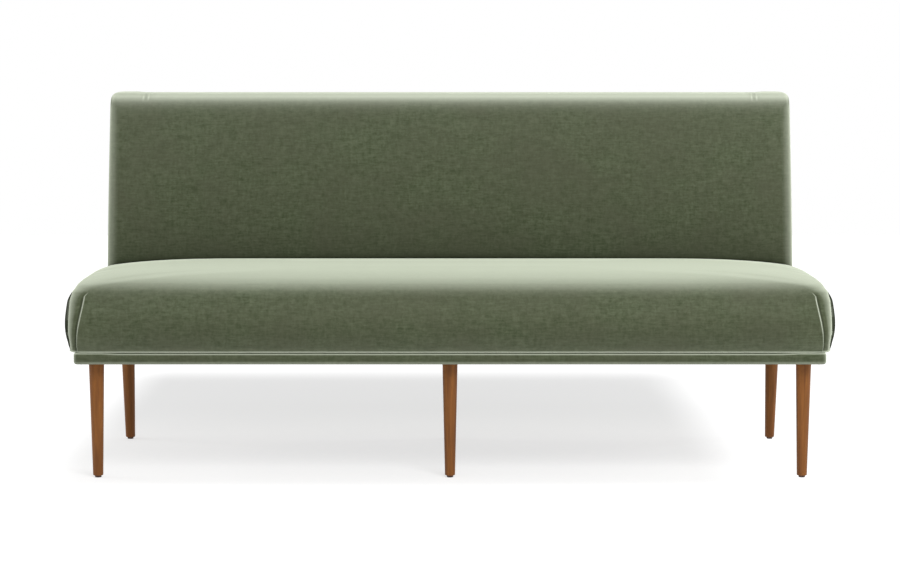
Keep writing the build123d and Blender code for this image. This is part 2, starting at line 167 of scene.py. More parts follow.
def meshPoints(piece):
    points = np.empty(len(piece.data.vertices) * 3)
    piece.data.vertices.foreach_get("co", points)
    return points.reshape(-1, 3)


def meshNormals(piece):
    normals = np.empty(len(piece.data.vertices) * 3)
    piece.data.vertex_normals.foreach_get("vector", normals)
    return normals.reshape(-1, 3)


def setPoints(piece, points):
    piece.data.vertices.foreach_set("co", points.reshape(-1))
    piece.data.update()


def setMask(piece, name, values):
    mask = piece.data.attributes.get(name) or piece.data.attributes.new(name, "FLOAT", "POINT")
    mask.data.foreach_set("value", np.clip(values, 0, 1).astype(np.float32))


def smoothShade(piece, angle):
    makeActive(piece)
    bpy.ops.object.shade_smooth_by_angle(angle=math.radians(angle))


def outwards(piece):
    makeActive(piece)
    pickAll()
    bpy.ops.mesh.normals_make_consistent(inside=False)
    objectMode()


def smoothStep(low, high, value):
    share = np.clip((value - low) / (high - low), 0, 1)
    return share * share * (3 - 2 * share)


def curvedRow(rows, place):
    # A smooth line through the rows, read at a place between two of them
    last = len(rows) - 1
    place = min(max(place, 0), last)
    step = min(int(place), last - 1)
    t = place - step
    here, there = rows[step], rows[step + 1]
    before = rows[step - 1] if step else here - (there - here)
    after = rows[step + 2] if step + 2 <= last else there
    a = 2 * here
    b = there - before
    c = 2 * before - 5 * here + 4 * there - after
    d = -before + 3 * here - 3 * there + after
    return (a + b * t + c * t * t + d * t ** 3) / 2


# Velvet tightening over its padding

puffing = {
    "pressure": 4.0, "frames": 20, "quality": 5, "stiffness": 18.0, "bending": 2, "mass": 0.3,
    "foamGive": 0.08, "holdSteps": 10,
}


def puffUp(piece, hold, cap):
    # hold is how firmly each point is fixed, from 0 to 1, and cap how far it may move
    copy = piece.copy()
    copy.data = piece.data.copy()
    bpy.context.collection.objects.link(copy)
    group = copy.vertex_groups.new(name="hold")
    steps = puffing["holdSteps"]
    for level in range(1, steps + 1):
        picked = np.nonzero(np.round(hold * steps).astype(int) == level)[0]
        if len(picked):
            group.add(picked.tolist(), level / steps, "REPLACE")
    cloth = copy.modifiers.new("puff", "CLOTH").settings
    cloth.quality = puffing["quality"]
    cloth.mass = puffing["mass"]
    cloth.tension_stiffness = cloth.compression_stiffness = puffing["stiffness"]
    cloth.shear_stiffness = puffing["stiffness"]
    cloth.bending_stiffness = puffing["bending"]
    cloth.use_pressure = True
    cloth.uniform_pressure_force = puffing["pressure"]
    cloth.effector_weights.gravity = 0
    cloth.vertex_group_mass = "hold"
    scene = bpy.context.scene
    for number in range(1, puffing["frames"] + 1):
        scene.frame_set(number)
    solved = copy.evaluated_get(bpy.context.evaluated_depsgraph_get()).to_mesh()
    moved = np.empty(len(solved.vertices) * 3)
    solved.vertices.foreach_get("co", moved)
    start = meshPoints(piece)
    move = moved.reshape(-1, 3) - start
    inward = (move * meshNormals(piece)).sum(axis=1) < 0
    move[inward] *= puffing["foamGive"]
    far = np.linalg.norm(move, axis=1)
    scale = cap * np.tanh(far / cap) / np.maximum(far, 1e-9)
    setPoints(piece, start + move * scale[:, None])
    bpy.data.objects.remove(copy)
    scene.frame_set(1)
    print("puffed", piece.name, "most %.1f mm" % (1000 * far.max()))


# Level outlines with round corners, shared by the rings of the seat

cornerPull = 0.55


def cornerWarp(share):
    # Crowds the points towards both ends, where the corners are
    return (1 - cornerPull) * share + cornerPull * (1 - math.cos(math.pi * share)) / 2


def frontPoint(share, half, front, radius, way=1):
    # Along the front from corner to corner, or along the rear with way -1
    flat = half - radius
    reach = (2 * cornerWarp(share) - 1) * (flat + radius * math.pi / 4)
    if abs(reach) <= flat:
        return reach, front
    angle = (abs(reach) - flat) / radius
    x = math.copysign(flat + radius * math.sin(angle), reach)
    return x, front + way * radius * (1 - math.cos(angle))


def endPoint(share, half, front, rear, frontRadius, rearRadius):
    # Along the right end from the front corner to the rear corner
    first, last = frontRadius * math.pi / 4, rearRadius * math.pi / 4
    flat = rear - rearRadius - front - frontRadius
    reach = cornerWarp(share) * (first + flat + last)
    if reach < first:
        angle = math.pi / 4 + reach / frontRadius
        x = half - frontRadius * (1 - math.sin(angle))
        return x, front + frontRadius * (1 - math.cos(angle))
    if reach < first + flat:
        return half, front + frontRadius + reach - first
    angle = (reach - first - flat) / rearRadius
    return half - rearRadius * (1 - math.cos(angle)), rear - rearRadius * (1 - math.sin(angle))


# Backrest lines, seen from the end

backShape = {
    "thickness": 0.11173, "crevice": 0.177, "rake": 10, "outsideRake": 7, "crown": 0.008,
    "topRadius": 0.036, "endRadius": 0.015, "rearRadius": 0.004, "gap": 0.0003, "slopeReach": 0.005,
    "columns": 132, "endColumns": 7, "faceRows": 56, "arcRows": 10, "topRows": 6, "rearRows": 24,
    "draw": 0.0002, "cap": 0.0020, "taper": 0.0009, "taperDown": 0.050,
    # painted highlight: along the top edge, dimmed lower on the face, and down each end
    "topGlow": 0.73, "topGlowReach": 0.0205, "topGlowShape": 1.5, "topHaze": 0.02, "topHazeReach": 0.07,
    "rimDim": 0.55, "rimDown": (0.012, 0.003),
    "sideGlow": 0.14, "sideGlowReach": 0.027, "sideGlowShare": 0.45,
    "topFall": 0.0018, "topFallReach": 0.03, "faceReach": 0.05,
    "footHold": (0.05, 0.12), "rearHold": (0.004, 0.03), "endInset": 0.0015,
    # where the seat's crown meets the back, and the painted shade over that line
    "seatLineHalves": (0, 0.6, 0.75, 0.83, 0.87), "seatLineHeights": (0.4826, 0.4796, 0.476, 0.4708, 0.463),
    "hollow": 0.42, "hollowReach": 0.065, "crease": 0.6, "creaseReach": 0.006,
    "hollowEnd": (0.03, 0.005), "hollowEndShare": 0.75,
}
backHeight = backTop - platformTop


def outsideLine(z):
    return platformRear + (z - platformTop) * math.tan(math.radians(backShape["outsideRake"]))


def insideLine(z):
    def crown(level):
        share = (level - platformTop) / backHeight
        return 4 * backShape["crown"] * share * (1 - share)
    lean = math.tan(math.radians(backShape["rake"]))
    crevice = platformTop + backShape["crevice"]
    front = outsideLine(crevice) - backShape["thickness"]
    return front + (z - crevice) * lean + crown(crevice) - crown(z)


# Seat cushion

seatShape = {
    "lengthSegments": 124, "depthSegments": 36, "crownRings": 12,
    "footOverhang": 0.0075, "frontSetback": 0.002, "endBulge": 0.0205, "frontBulge": 0.018,
    "endCrownRun": 0.520, "frontCrownRun": 0.210, "rearCrownRun": 0.190,
    "frontRadius": 0.036, "rearRadius": 0.018, "radiusGrowth": 1.0, "shoulderGrowth": 1.1,
    "shoulderReach": 0.03,
    "footDrop": 0.0013, "backGap": 0.0003, "centreHalf": 0.327,
    "footRoll": 0.0012, "footRollHeight": 0.0024, "footRollReach": 0.0013, "footTuck": 0.0016,
    "draw": 0.0008, "cap": 0.0026,
    "domeHeight": 0.0034, "domeMiddle": -0.04, "domeReach": 0.13, "domeFront": (-0.29, -0.16),
    "domeSides": (0.5, 0.8), "domeRise": (0.115, 0.15), "rearFall": 0.0045, "rearFallReach": (0.06, 0.20),
    "middleFall": 0.0024, "middleSides": (0.8, 0.5), "middleRise": (0.13, 0.17),
    "footHold": (0.004, 0.035), "rearHold": (0.004, 0.04), "footInset": 0.005,
    # height, bulge of the ends and the front, and how far ends, front and rear draw in over the crown
    "rowShares": (
        (0.000, 0.27, 0.00, 0.0000, 0.000, 0.00), (0.050, 0.37, 0.36, 0.0000, 0.000, 0.00),
        (0.110, 0.46, 0.68, 0.0000, 0.000, 0.00), (0.210, 0.68, 0.96, 0.0000, 0.000, 0.00),
        (0.310, 0.79, 1.00, 0.0000, 0.000, 0.00), (0.415, 0.80, 0.90, 0.0000, 0.000, 0.00),
        (0.515, 0.735, 0.66, 0.0000, 0.000, 0.00), (0.620, 0.635, 0.28, 0.0000, 0.000, 0.00),
        (0.670, 0.53, 0.12, 0.0000, 0.003, 0.00), (0.720, 0.30, 0.02, 0.0000, 0.012, 0.00),
        (0.760, 0.09, 0.00, 0.0010, 0.030, 0.00), (0.800, 0.00, 0.00, 0.0080, 0.056, 0.00),
        (0.835, 0.00, 0.00, 0.0130, 0.090, 0.00), (0.865, 0.00, 0.00, 0.0260, 0.130, 0.00),
        (0.890, 0.00, 0.00, 0.0860, 0.175, 0.00), (0.925, 0.00, 0.00, 0.2000, 0.270, 0.00),
        (0.955, 0.00, 0.00, 0.3900, 0.430, 0.08), (0.980, 0.00, 0.00, 0.6600, 0.660, 0.42),
        (1.000, 0.00, 0.00, 1.0000, 1.000, 1.00),
    ),
    "shoulderRow": 12, "tableSteps": 400,
    # places between the rows where the side has a ring of points, from the foot up
    "sidePlaces": (
        0, 0.08, 0.17, 0.26, 0.36, 0.48, 0.65, 0.82, 1, 1.3, 1.65, 2, 2.35, 2.7, 3, 3.35, 3.7, 4, 4.35, 4.7,
        5, 5.3, 5.6, 6, 6.3, 6.6, 7, 7.4, 7.8, 8.3, 8.8, 9.3, 9.9, 10.5, 11, 11.5,
    ),
}
seatRows = np.array(seatShape["rowShares"])
seatHeight = seatTop - platformTop


def seatSize(place, draw):
    # Height, half length, front, rear and corner radii of the ring at a place between the rows
    height, endSwell, frontSwell, ends, front, rear = curvedRow(seatRows, place)
    above = height * (seatHeight + seatShape["footDrop"] - draw)
    z = platformTop - seatShape["footDrop"] + above
    roll = math.exp(-((above - seatShape["footRollHeight"]) / seatShape["footRollReach"]) ** 2)
    tuck = math.exp(-(above / seatShape["footRollReach"]) ** 2)
    out = seatShape["footRoll"] * roll - seatShape["footTuck"] * tuck - draw
    half = platformHalf + seatShape["footOverhang"] + seatShape["endBulge"] * endSwell
    half += out - seatShape["endCrownRun"] * ends
    near = platformFront + seatShape["frontSetback"] - seatShape["frontBulge"] * frontSwell
    near += seatShape["frontCrownRun"] * front - out
    far = insideLine(z) - seatShape["backGap"] - seatShape["rearCrownRun"] * rear - draw
    growth = 1 + seatShape["radiusGrowth"] * ends
    rounder = growth * (1 + seatShape["shoulderGrowth"] * smoothStep(0, seatShape["shoulderReach"], ends))
    return z, half, near, far, seatShape["frontRadius"] * rounder, seatShape["rearRadius"] * growth


def crownLift(x, y, z):
    # The ends of the crown dome a little over their middle and fall off to the rear
    above = z - platformTop
    near = smoothStep(*seatShape["domeSides"], abs(x)) * smoothStep(*seatShape["domeRise"], above)
    past = max(y - seatShape["domeMiddle"], 0) / seatShape["domeReach"]
    dome = seatShape["domeHeight"] * math.exp(-past ** 2) * smoothStep(*seatShape["domeFront"], y)
    fall = seatShape["rearFall"] * smoothStep(*seatShape["rearFallReach"], y)
    middle = seatShape["middleFall"] * smoothStep(*seatShape["middleSides"], abs(x))
    return near * (dome - fall) - middle * smoothStep(*seatShape["middleRise"], above)


def seatPoint(i, j, level, draw):
    # Place of a grid point: i and j count along the length and the depth, level down the side
    across, deep = seatShape["lengthSegments"], seatShape["depthSegments"]
    ring = min(i, across - i, j, deep - j)
    lastRing, crownRings = deep // 2, seatShape["crownRings"]
    if level:
        place = seatShape["sidePlaces"][-level]
    else:
        rise = min(ring / crownRings, 1)
        place = seatShape["shoulderRow"] + rise * (len(seatRows) - 1 - seatShape["shoulderRow"])
    z, half, near, far, frontRadius, rearRadius = seatSize(place, draw)
    if ring > crownRings:
        inward = (ring - crownRings) / (lastRing - crownRings)
        middle = (near + far) / 2
        half += (seatShape["centreHalf"] - half) * inward
        near += (middle - near) * inward
        far += (middle - far) * inward
        frontRadius *= 1 - inward
        rearRadius *= 1 - inward
    if ring == lastRing:
        share = (i - ring) / (across - 2 * ring)
        x, y = (2 * cornerWarp(share) - 1) * half, (near + far) / 2
        return x, y, z + crownLift(x, y, z)
    along = (i - ring) / (across - 2 * ring)
    inwards = (j - ring) / (deep - 2 * ring)
    if j == ring:
        x, y = frontPoint(along, half, near, frontRadius)
    elif j == deep - ring:
        x, y = frontPoint(along, half, far, rearRadius, -1)
    else:
        x, y = endPoint(inwards, half, near, far, frontRadius, rearRadius)
        x = -x if i == ring else x
    return x, y, z + crownLift(x, y, z)


def seatCushion():
    across, deep = seatShape["lengthSegments"], seatShape["depthSegments"]
    levels = len(seatShape["sidePlaces"])
    deselectAll()
    bpy.ops.mesh.primitive_grid_add(x_subdivisions=across, y_subdivisions=deep, size=2)
    piece = newPiece("seatCushion")
    pickRims(piece)
    for level in range(levels):
        bpy.ops.mesh.extrude_region_move(TRANSFORM_OT_translate={"value": (0, 0, -1)})
    objectMode()
    draw = seatShape["draw"]
    flat = meshPoints(piece)
    shaped = np.empty_like(flat)
    for number, (x, y, z) in enumerate(flat):
        i, j = round((x + 1) / 2 * across), round((y + 1) / 2 * deep)
        shaped[number] = seatPoint(i, j, round(-z), draw)
    setPoints(piece, shaped)
    outwards(piece)
    points = meshPoints(piece)
    above = points[:, 2] - platformTop
    rear = insideLine(points[:, 2]) - points[:, 1]
    hold = 1 - smoothStep(*seatShape["footHold"], above)
    hold = np.maximum(hold, 1 - smoothStep(*seatShape["rearHold"], rear))
    puffUp(piece, hold, seatShape["cap"])
    makeFiner(piece)
    pickRims(piece)
    fillRim(seatShape["footInset"])
    outwards(piece)
    return piece


# Corner pleats of the seat: a fold down each front corner and a second one on the end behind it

pleat = {
    "lineHeights": (0.003, 0.051, 0.0745, 0.1016, 0.130),
    "lineHalves": (0.8769, 0.8729, 0.8707, 0.8630, 0.8589),
    "topHeight": 0.1325, "tipHeight": 0.1435, "tipHalf": 0.8480,
    "lip": 0.0012, "lipReach": 0.006, "drop": 0.0042, "dropReach": 0.0022, "recover": 0.016,
    "endFoot": 0.001, "endTop": 0.139, "endSetback": 0.004, "open": 0.0098, "openShape": 0.50,
    "leastWidth": 0.001,
    "slot": 0.0040, "slotReach": 0.0014, "bands": (0.014, 0.009, 0.005),
    # the part of the seat that the folds lie in: beyond this half length, and this far behind the front
    "finerHalf": 0.8, "finerDepth": 0.12, "finerFoot": 0.0005, "finerTop": 0.006,
    "cornerHalf": 0.75, "cornerDepth": 0.2, "footFade": 0.006, "topFade": 0.012,
}

# How strong the seat's painted highlights and painted shade are, and how far each one reaches
seatLightAndShade = {
    "ridge": 0.48, "ridgeMore": 0.42, "ridgeRise": (0.03, 0.09), "ridgeShare": 0.75,
    "valley": 0.55, "valleyPlaceShare": 1.6, "valleyShare": 1.4,
    "rim": 1.6, "rimFade": 0.3, "rimReach": 0.0045, "rimSetback": 0.0045, "wedge": 0.25,
    "slotReach": 0.016, "slotFade": 0.2, "slotDeep": 0.5,
    "footLine": 0.73, "footLineHeight": 0.0021, "footLineReach": 0.0014,
    "footHaze": 0.05, "footHazeReach": 0.008,
    "groove": 0.6, "grooveRise": (-0.0001, 0.0006), "grooveEnds": (0.78, 0.82), "grooveEndShare": 0.8,
    "low": 0.18, "lowFall": (0.10, 0.035), "lowRise": (0.006, 0.018), "lowAside": (0.03, 0.15),
}


def cornerFlow(points):
    # For each point: distance round the front corner from its middle, and height over the platform
    x, y, z = np.abs(points[:, 0]), points[:, 1], points[:, 2]
    half, near, radius = placeAtHeight(z)
    flat, start = half - radius, near + radius
    turn = (np.arctan2(x - flat, start - y) - math.pi / 4) * radius
    flow = np.where(y >= start, y - start + radius * math.pi / 4, turn)
    return np.where(x <= flat, x - flat - radius * math.pi / 4, flow), z - platformTop


def heightTable():
    # Half length, front and corner radius of the seat's side at even heights
    places = np.linspace(0, seatShape["shoulderRow"] + 3, seatShape["tableSteps"])
    sizes = np.array([seatSize(place, 0) for place in places])
    levels = np.linspace(platformTop, seatTop, seatShape["tableSteps"] // 2)
    return levels, [np.interp(levels, sizes[:, 0], sizes[:, column]) for column in (1, 2, 4)]


seatLevels, (seatHalves, seatFronts, seatRadii) = heightTable()


def placeAtHeight(z):
    return [np.interp(z, seatLevels, column) for column in (seatHalves, seatFronts, seatRadii)]


def frontPleatFlow(above):
    # Where the front fold runs, as a distance round the corner
    curve = np.polyfit(pleat["lineHeights"], pleat["lineHalves"], 3)
    top = pleat["topHeight"]
    tip = np.interp(above, (top, pleat["tipHeight"]), (np.polyval(curve, top), pleat["tipHalf"]))
    x = np.where(above < top, np.polyval(curve, above), tip)
    half, near, radius = placeAtHeight(above + platformTop)
    flat = half - radius
    turn = (np.arcsin(np.clip((x - flat) / radius, -1, 1)) - math.pi / 4) * radius
    return np.where(x <= flat, x - flat - radius * math.pi / 4, turn)


def endPleatFlow(above):
    # Where the fold on the end runs: just behind the round of the corner
    radius = np.interp(above + platformTop, seatLevels, seatRadii)
    return radius * math.pi / 4 + pleat["endSetback"]


def openness(above):
    # How far the end fold stands off, from none at its two tips to all in the middle
    share = np.clip((above - pleat["endFoot"]) / (pleat["endTop"] - pleat["endFoot"]), 0, 1)
    return np.sin(math.pi * share) ** pleat["openShape"]


def refineAlong(piece, distance, reach):
    # Divides the faces that lie within reach of a line
    near = distance(meshPoints(piece)) < reach
    clearSelection(piece.data)
    for face in piece.data.polygons:
        face.select = any(near[v] for v in face.vertices)
    makeActive(piece)
    editMode("FACE")
    bpy.ops.mesh.subdivide(number_cuts=1, smoothness=0)
    objectMode()


def pleatDistance(points):
    flow, above = cornerFlow(points)
    front = np.abs(flow - frontPleatFlow(above))
    end = np.abs(flow - endPleatFlow(above))
    inside = above < pleat["tipHeight"] + pleat["finerTop"]
    inside &= points[:, 1] < platformFront + pleat["finerDepth"]
    inside &= (above > pleat["finerFoot"]) & (np.abs(points[:, 0]) > pleat["finerHalf"])
    return np.where(inside, np.minimum(front, end), 1)


def grooveDepth(points):
    # How deep the groove over the band reads: it sets the groove's painted shade and how low the painted
    # highlight on the band sits, and falls off near the two ends
    return 1 - seatLightAndShade["grooveEndShare"] * smoothStep(*seatLightAndShade["grooveEnds"], np.abs(points[:, 0]))


def pleatSeat(piece):
    for reach in pleat["bands"]:
        refineAlong(piece, pleatDistance, reach)
    points, normals = meshPoints(piece), meshNormals(piece)
    flow, above = cornerFlow(points)
    corner = np.abs(points[:, 0]) > pleat["cornerHalf"]
    corner &= points[:, 1] < platformFront + pleat["cornerDepth"]
    front, end = frontPleatFlow(above), endPleatFlow(above)
    past = flow - front
    fade = smoothStep(pleat["tipHeight"], pleat["topHeight"] - pleat["topFade"], above)
    fade *= smoothStep(0, pleat["footFade"], above)
    lip = pleat["lip"] * np.exp(-(np.minimum(past, 0) / pleat["lipReach"]) ** 2) * (past <= 0)
    falling = smoothStep(-pleat["dropReach"] / 2, pleat["dropReach"] / 2, past)
    rising = smoothStep(pleat["dropReach"] / 2, pleat["recover"], past)
    move = fade * (lip - (pleat["drop"] * (1 - rising) - pleat["lip"] * (1 - falling)) * falling)
    open_ = openness(above)
    wedge = smoothStep(0, 1, past / np.maximum(end - front, pleat["leastWidth"])) * (flow < end)
    slot = np.exp(-((flow - end + pleat["slotReach"]) / pleat["slotReach"]) ** 2)
    move -= open_ * (pleat["open"] * wedge + pleat["slot"] * slot * (flow < end))
    move = np.where(corner, move, 0)
    setPoints(piece, points + normals * move[:, None])
    marks = seatLightAndShade
    # Painted highlight on the lip of the front fold, stronger higher up; painted shade in the valley beside
    # it
    ridge = fade * np.exp(-(past / (marks["ridgeShare"] * pleat["dropReach"])) ** 2)
    ridge *= marks["ridge"] + marks["ridgeMore"] * smoothStep(*marks["ridgeRise"], above)
    lowest = marks["valleyPlaceShare"] * pleat["dropReach"]
    valley = fade * np.exp(-((past - lowest) / (marks["valleyShare"] * pleat["dropReach"])) ** 2)
    # Painted highlight on the rim of the wedge; painted shade in the slot and on the fold that stands off
    # behind it
    rim = np.exp(-((flow - end + marks["rimSetback"]) / marks["rimReach"]) ** 2) * (flow < end)
    rim = open_ ** marks["rimFade"] * (marks["rim"] * rim + marks["wedge"] * wedge ** 3)
    shade = np.where(flow < end, slot, np.exp(-(np.maximum(flow - end, 0) / marks["slotReach"]) ** 2))
    shade *= smoothStep(0, marks["slotFade"], open_)
    # Painted highlight along the roll at the foot
    foot = above + seatShape["footDrop"]
    line = np.exp(-((foot - marks["footLineHeight"]) / marks["footLineReach"]) ** 2)
    line += marks["footHaze"] * np.exp(-(foot / marks["footHazeReach"]) ** 2)
    light = np.where(corner, np.maximum(ridge, rim * (shade < marks["slotDeep"])), 0)
    setMask(piece, "paintedLight", np.maximum(light, marks["footLine"] * line))
    # Painted shade in the groove over the band and low on the front and ends
    groove = marks["groove"] * (1 - smoothStep(*marks["grooveRise"], foot)) * grooveDepth(points)
    low = marks["low"] * smoothStep(*marks["lowFall"], above) * smoothStep(*marks["lowRise"], above)
    low *= smoothStep(*marks["lowAside"], np.abs(flow))
    folds = np.where(corner, np.maximum(marks["valley"] * valley, shade), 0)
    setMask(piece, "paintedShade", np.maximum(np.maximum(folds, low), groove))


sheenUpwardTurn = (-0.75, 0.05)


def paintSheenUpward(piece):
    # Painted sheen: pale where the cloth turns up to the light, and less where it turns down
    setMask(piece, "nap", smoothStep(*sheenUpwardTurn, meshNormals(piece)[:, 2]))


# Back cushion

def backSection(draw):
    # Points of one section as (y, z), from the front foot over the top and down the rear
    top = backTop - draw
    radius = backShape["topRadius"] - draw
    touch = top - radius
    near = backShape["slopeReach"]
    lean = math.atan((insideLine(touch + near) - insideLine(touch - near)) / (2 * near))
    touch = top - radius * (1 - math.sin(lean))
    foot = platformTop + backShape["gap"]
    shift = draw / math.cos(lean)
    section = [(insideLine(z) + shift, z) for z in np.linspace(foot, touch, backShape["faceRows"])]
    centre = (insideLine(touch) + shift + radius * math.cos(lean), top - radius)
    for angle in np.linspace(math.pi - lean, math.pi / 2, backShape["arcRows"] + 1)[1:]:
        flip = math.pi - angle
        section.append((centre[0] - radius * math.cos(flip), centre[1] + radius * math.sin(flip)))
    rearRadius = backShape["rearRadius"]
    rearY = outsideLine(top) - rearRadius
    section += [(y, top) for y in np.linspace(centre[0], rearY, backShape["topRows"] + 1)[1:]]
    for angle in (30, 60, 90):
        turn = math.radians(angle)
        section.append((rearY + rearRadius * math.sin(turn), top - rearRadius * (1 - math.cos(turn))))
    for z in np.linspace(top - rearRadius, foot, backShape["rearRows"] + 1)[1:]:
        section.append((outsideLine(z), z))
    return section


def backColumns():
    # x of each column and how far its section is drawn in round the end
    radius, turns = backShape["endRadius"], backShape["endColumns"]
    flat = backHalf - radius
    middle = [(x, 0) for x in np.linspace(-flat, flat, backShape["columns"] + 1)]
    right = []
    for number in range(1, turns + 1):
        turn = math.pi / 2 * number / turns
        right.append((flat + radius * math.sin(turn), radius * (1 - math.cos(turn))))
    left = [(-x, drawn) for x, drawn in reversed(right)]
    return left + middle + right


def backCushion():
    columns = backColumns()
    base = backShape["draw"]
    sections = {}
    for x, drawn in columns:
        key = round(drawn, 6)
        if key not in sections:
            sections[key] = backSection(drawn + base)
    rows = len(sections[0.0])
    deselectAll()
    bpy.ops.mesh.primitive_grid_add(x_subdivisions=len(columns) - 1, y_subdivisions=rows - 1, size=2)
    piece = newPiece("backCushion")
    flat = meshPoints(piece)
    shaped = np.empty_like(flat)
    for number, (x, y, z) in enumerate(flat):
        column = columns[round((x + 1) / 2 * (len(columns) - 1))]
        row = round((y + 1) / 2 * (rows - 1))
        shaped[number] = (column[0] * (1 - base / backHalf), *sections[round(column[1], 6)][row])
    setPoints(piece, shaped)
    makeActive(piece)
    footLine = platformTop + 2 * backShape["gap"]
    pickEdges(piece, lambda a, b: max(a.z, b.z) < footLine and abs(a.x - b.x) > tiny)
    editMode("EDGE")
    # Creases keep the foot square when the mesh is made finer
    bpy.ops.transform.edge_crease(value=1)
    bpy.ops.mesh.bridge_edge_loops()
    objectMode()
    outwards(piece)
    points = meshPoints(piece)
    behind = outsideLine(points[:, 2]) - points[:, 1]
    above = points[:, 2] - platformTop
    hold = 1 - smoothStep(*backShape["rearHold"], behind)
    hold = np.maximum(hold, 1 - smoothStep(*backShape["footHold"], above))
    puffUp(piece, hold, backShape["cap"])
    makeFiner(piece)
    for side in (-1, 1):
        closeEnd(piece, side)
    outwards(piece)
    return piece


def closeEnd(piece, side):
    # Fills one open end of the tube and draws rings into it
    pickRims(piece)
    objectMode()
    points = piece.data.vertices
    for edge in piece.data.edges:
        if points[edge.vertices[0]].co.x * side < 0:
            edge.select = False
    for point in points:
        point.select = point.select and point.co.x * side > 0
    editMode("EDGE")
    fillRim(backShape["endInset"])


# Two small pinched tucks over the top edge near each end of the backrest

pinch = {
    "places": (0.7835, 0.7965), "reach": 0.0024, "height": 0.0010, "dip": 0.0011, "dipReach": 0.012,
    "down": 0.028, "fade": 0.014, "behind": 0.045, "rearFade": 0.02, "puff": 0.0018, "puffReach": 0.03,
    # painted highlight on the tucks' ridges, from this far below the top
    "glow": 0.17, "glowFrom": (0.007, 0.013),
    "bands": (0.012, 0.007, 0.004), "bandsDown": 0.038, "bandsRear": 0.012,
    # the shade between the tucks, and the one down the back's own edge at each end
    "dipShade": 0.2, "tuckShade": 0.5, "tuckPlace": 0.0045, "tuckReach": 0.0022,
    "tuckTop": (0.006, 0.014), "tuckFoot": (0.042, 0.024),
}


def pinchDistance(points):
    x = np.abs(points[:, 0])
    near = np.minimum(np.abs(x - pinch["places"][0]), np.abs(x - pinch["places"][1]))
    ahead = points[:, 1] < outsideLine(backTop) - pinch["bandsRear"]
    return np.where((points[:, 2] > backTop - pinch["bandsDown"]) & ahead, near, 1)


def pinchBack(piece):
    for reach in pinch["bands"]:
        refineAlong(piece, pinchDistance, reach)
    points, normals = meshPoints(piece), meshNormals(piece)
    x = np.abs(points[:, 0])
    rise = smoothStep(backTop - pinch["down"], backTop - pinch["down"] + pinch["fade"], points[:, 2])
    rear = outsideLine(backTop) - pinch["behind"]
    rise *= smoothStep(rear + pinch["rearFade"], rear, points[:, 1])
    ridge = sum(np.exp(-((x - place) / pinch["reach"]) ** 2) for place in pinch["places"])
    middle = sum(pinch["places"]) / 2
    dip = np.exp(-((x - middle) / pinch["dipReach"]) ** 2)
    move = rise * (pinch["height"] * ridge - pinch["dip"] * dip)
    corner = smoothStep(pinch["places"][1], pinch["places"][1] + pinch["puffReach"], x)
    corner *= smoothStep(backHalf, backHalf - pinch["puffReach"], x)
    move += pinch["puff"] * corner * smoothStep(backTop - pinch["puffReach"], backTop, points[:, 2])
    points = points + normals * move[:, None]
    taper = smoothStep(backTop - backShape["taperDown"], backTop, points[:, 2])
    points[:, 0] *= 1 - backShape["taper"] * taper / backHalf
    fall = smoothStep(backTop - backShape["topFallReach"], backTop, points[:, 2])
    points[:, 2] -= backShape["topFall"] * fall
    setPoints(piece, points)
    shadeBack(piece, rise * ridge, rise * dip * (1 - np.clip(ridge, 0, 1)))


def shadeBack(piece, ridges, dips):
    # Painted highlights along the top and end edges, painted shade over the seat and in the tucks
    points = meshPoints(piece)
    down = np.maximum(backTop - backShape["topFall"] - points[:, 2], 0)
    inwards = np.maximum(backHalf - np.abs(points[:, 0]), 0)
    front = insideLine(points[:, 2]) + backShape["faceReach"] > points[:, 1]
    # Painted highlight along the top edge, down the ends and on the tucks' ridges
    edge = backShape["topGlow"] * np.exp(-(down / backShape["topGlowReach"]) ** backShape["topGlowShape"])
    edge += backShape["topHaze"] * np.exp(-down / backShape["topHazeReach"])
    edge *= 1 - backShape["rimDim"] * smoothStep(*backShape["rimDown"], down)
    reach = backShape["sideGlowReach"]
    side = backShape["sideGlow"] * smoothStep(reach, backShape["sideGlowShare"] * reach, inwards)
    marks = pinch["glow"] * ridges * smoothStep(*pinch["glowFrom"], down)
    setMask(piece, "paintedLight", np.where(front, np.maximum(edge, side), 0) + marks)
    # Painted shade over the seat line, in the crease there, and down the tucks
    seatLine = np.interp(np.abs(points[:, 0]), backShape["seatLineHalves"], backShape["seatLineHeights"])
    over = np.maximum(points[:, 2] - seatLine, 0)
    hollow = backShape["hollow"] * np.exp(-over / backShape["hollowReach"])
    hollow += backShape["crease"] * np.exp(-over / backShape["creaseReach"])
    hollow *= 1 - backShape["hollowEndShare"] * smoothStep(*backShape["hollowEnd"], inwards)
    tuck = np.exp(-((inwards - pinch["tuckPlace"]) / pinch["tuckReach"]) ** 2)
    tuck *= smoothStep(*pinch["tuckTop"], down) * smoothStep(*pinch["tuckFoot"], down)
    setMask(piece, "paintedShade", pinch["dipShade"] * dips + hollow + pinch["tuckShade"] * tuck)


# Outside back: a thin padded panel, tacked all round

outsidePanel = {
    "inset": 0.006, "footGap": 0.0002, "thickness": 0.0015, "columns": 40, "rows": 14,
    # how far each ring of the padding is drawn in, and how far it stands out
    "padding": ((0.0022, 0.0016), (0.004, 0.0004)),
}


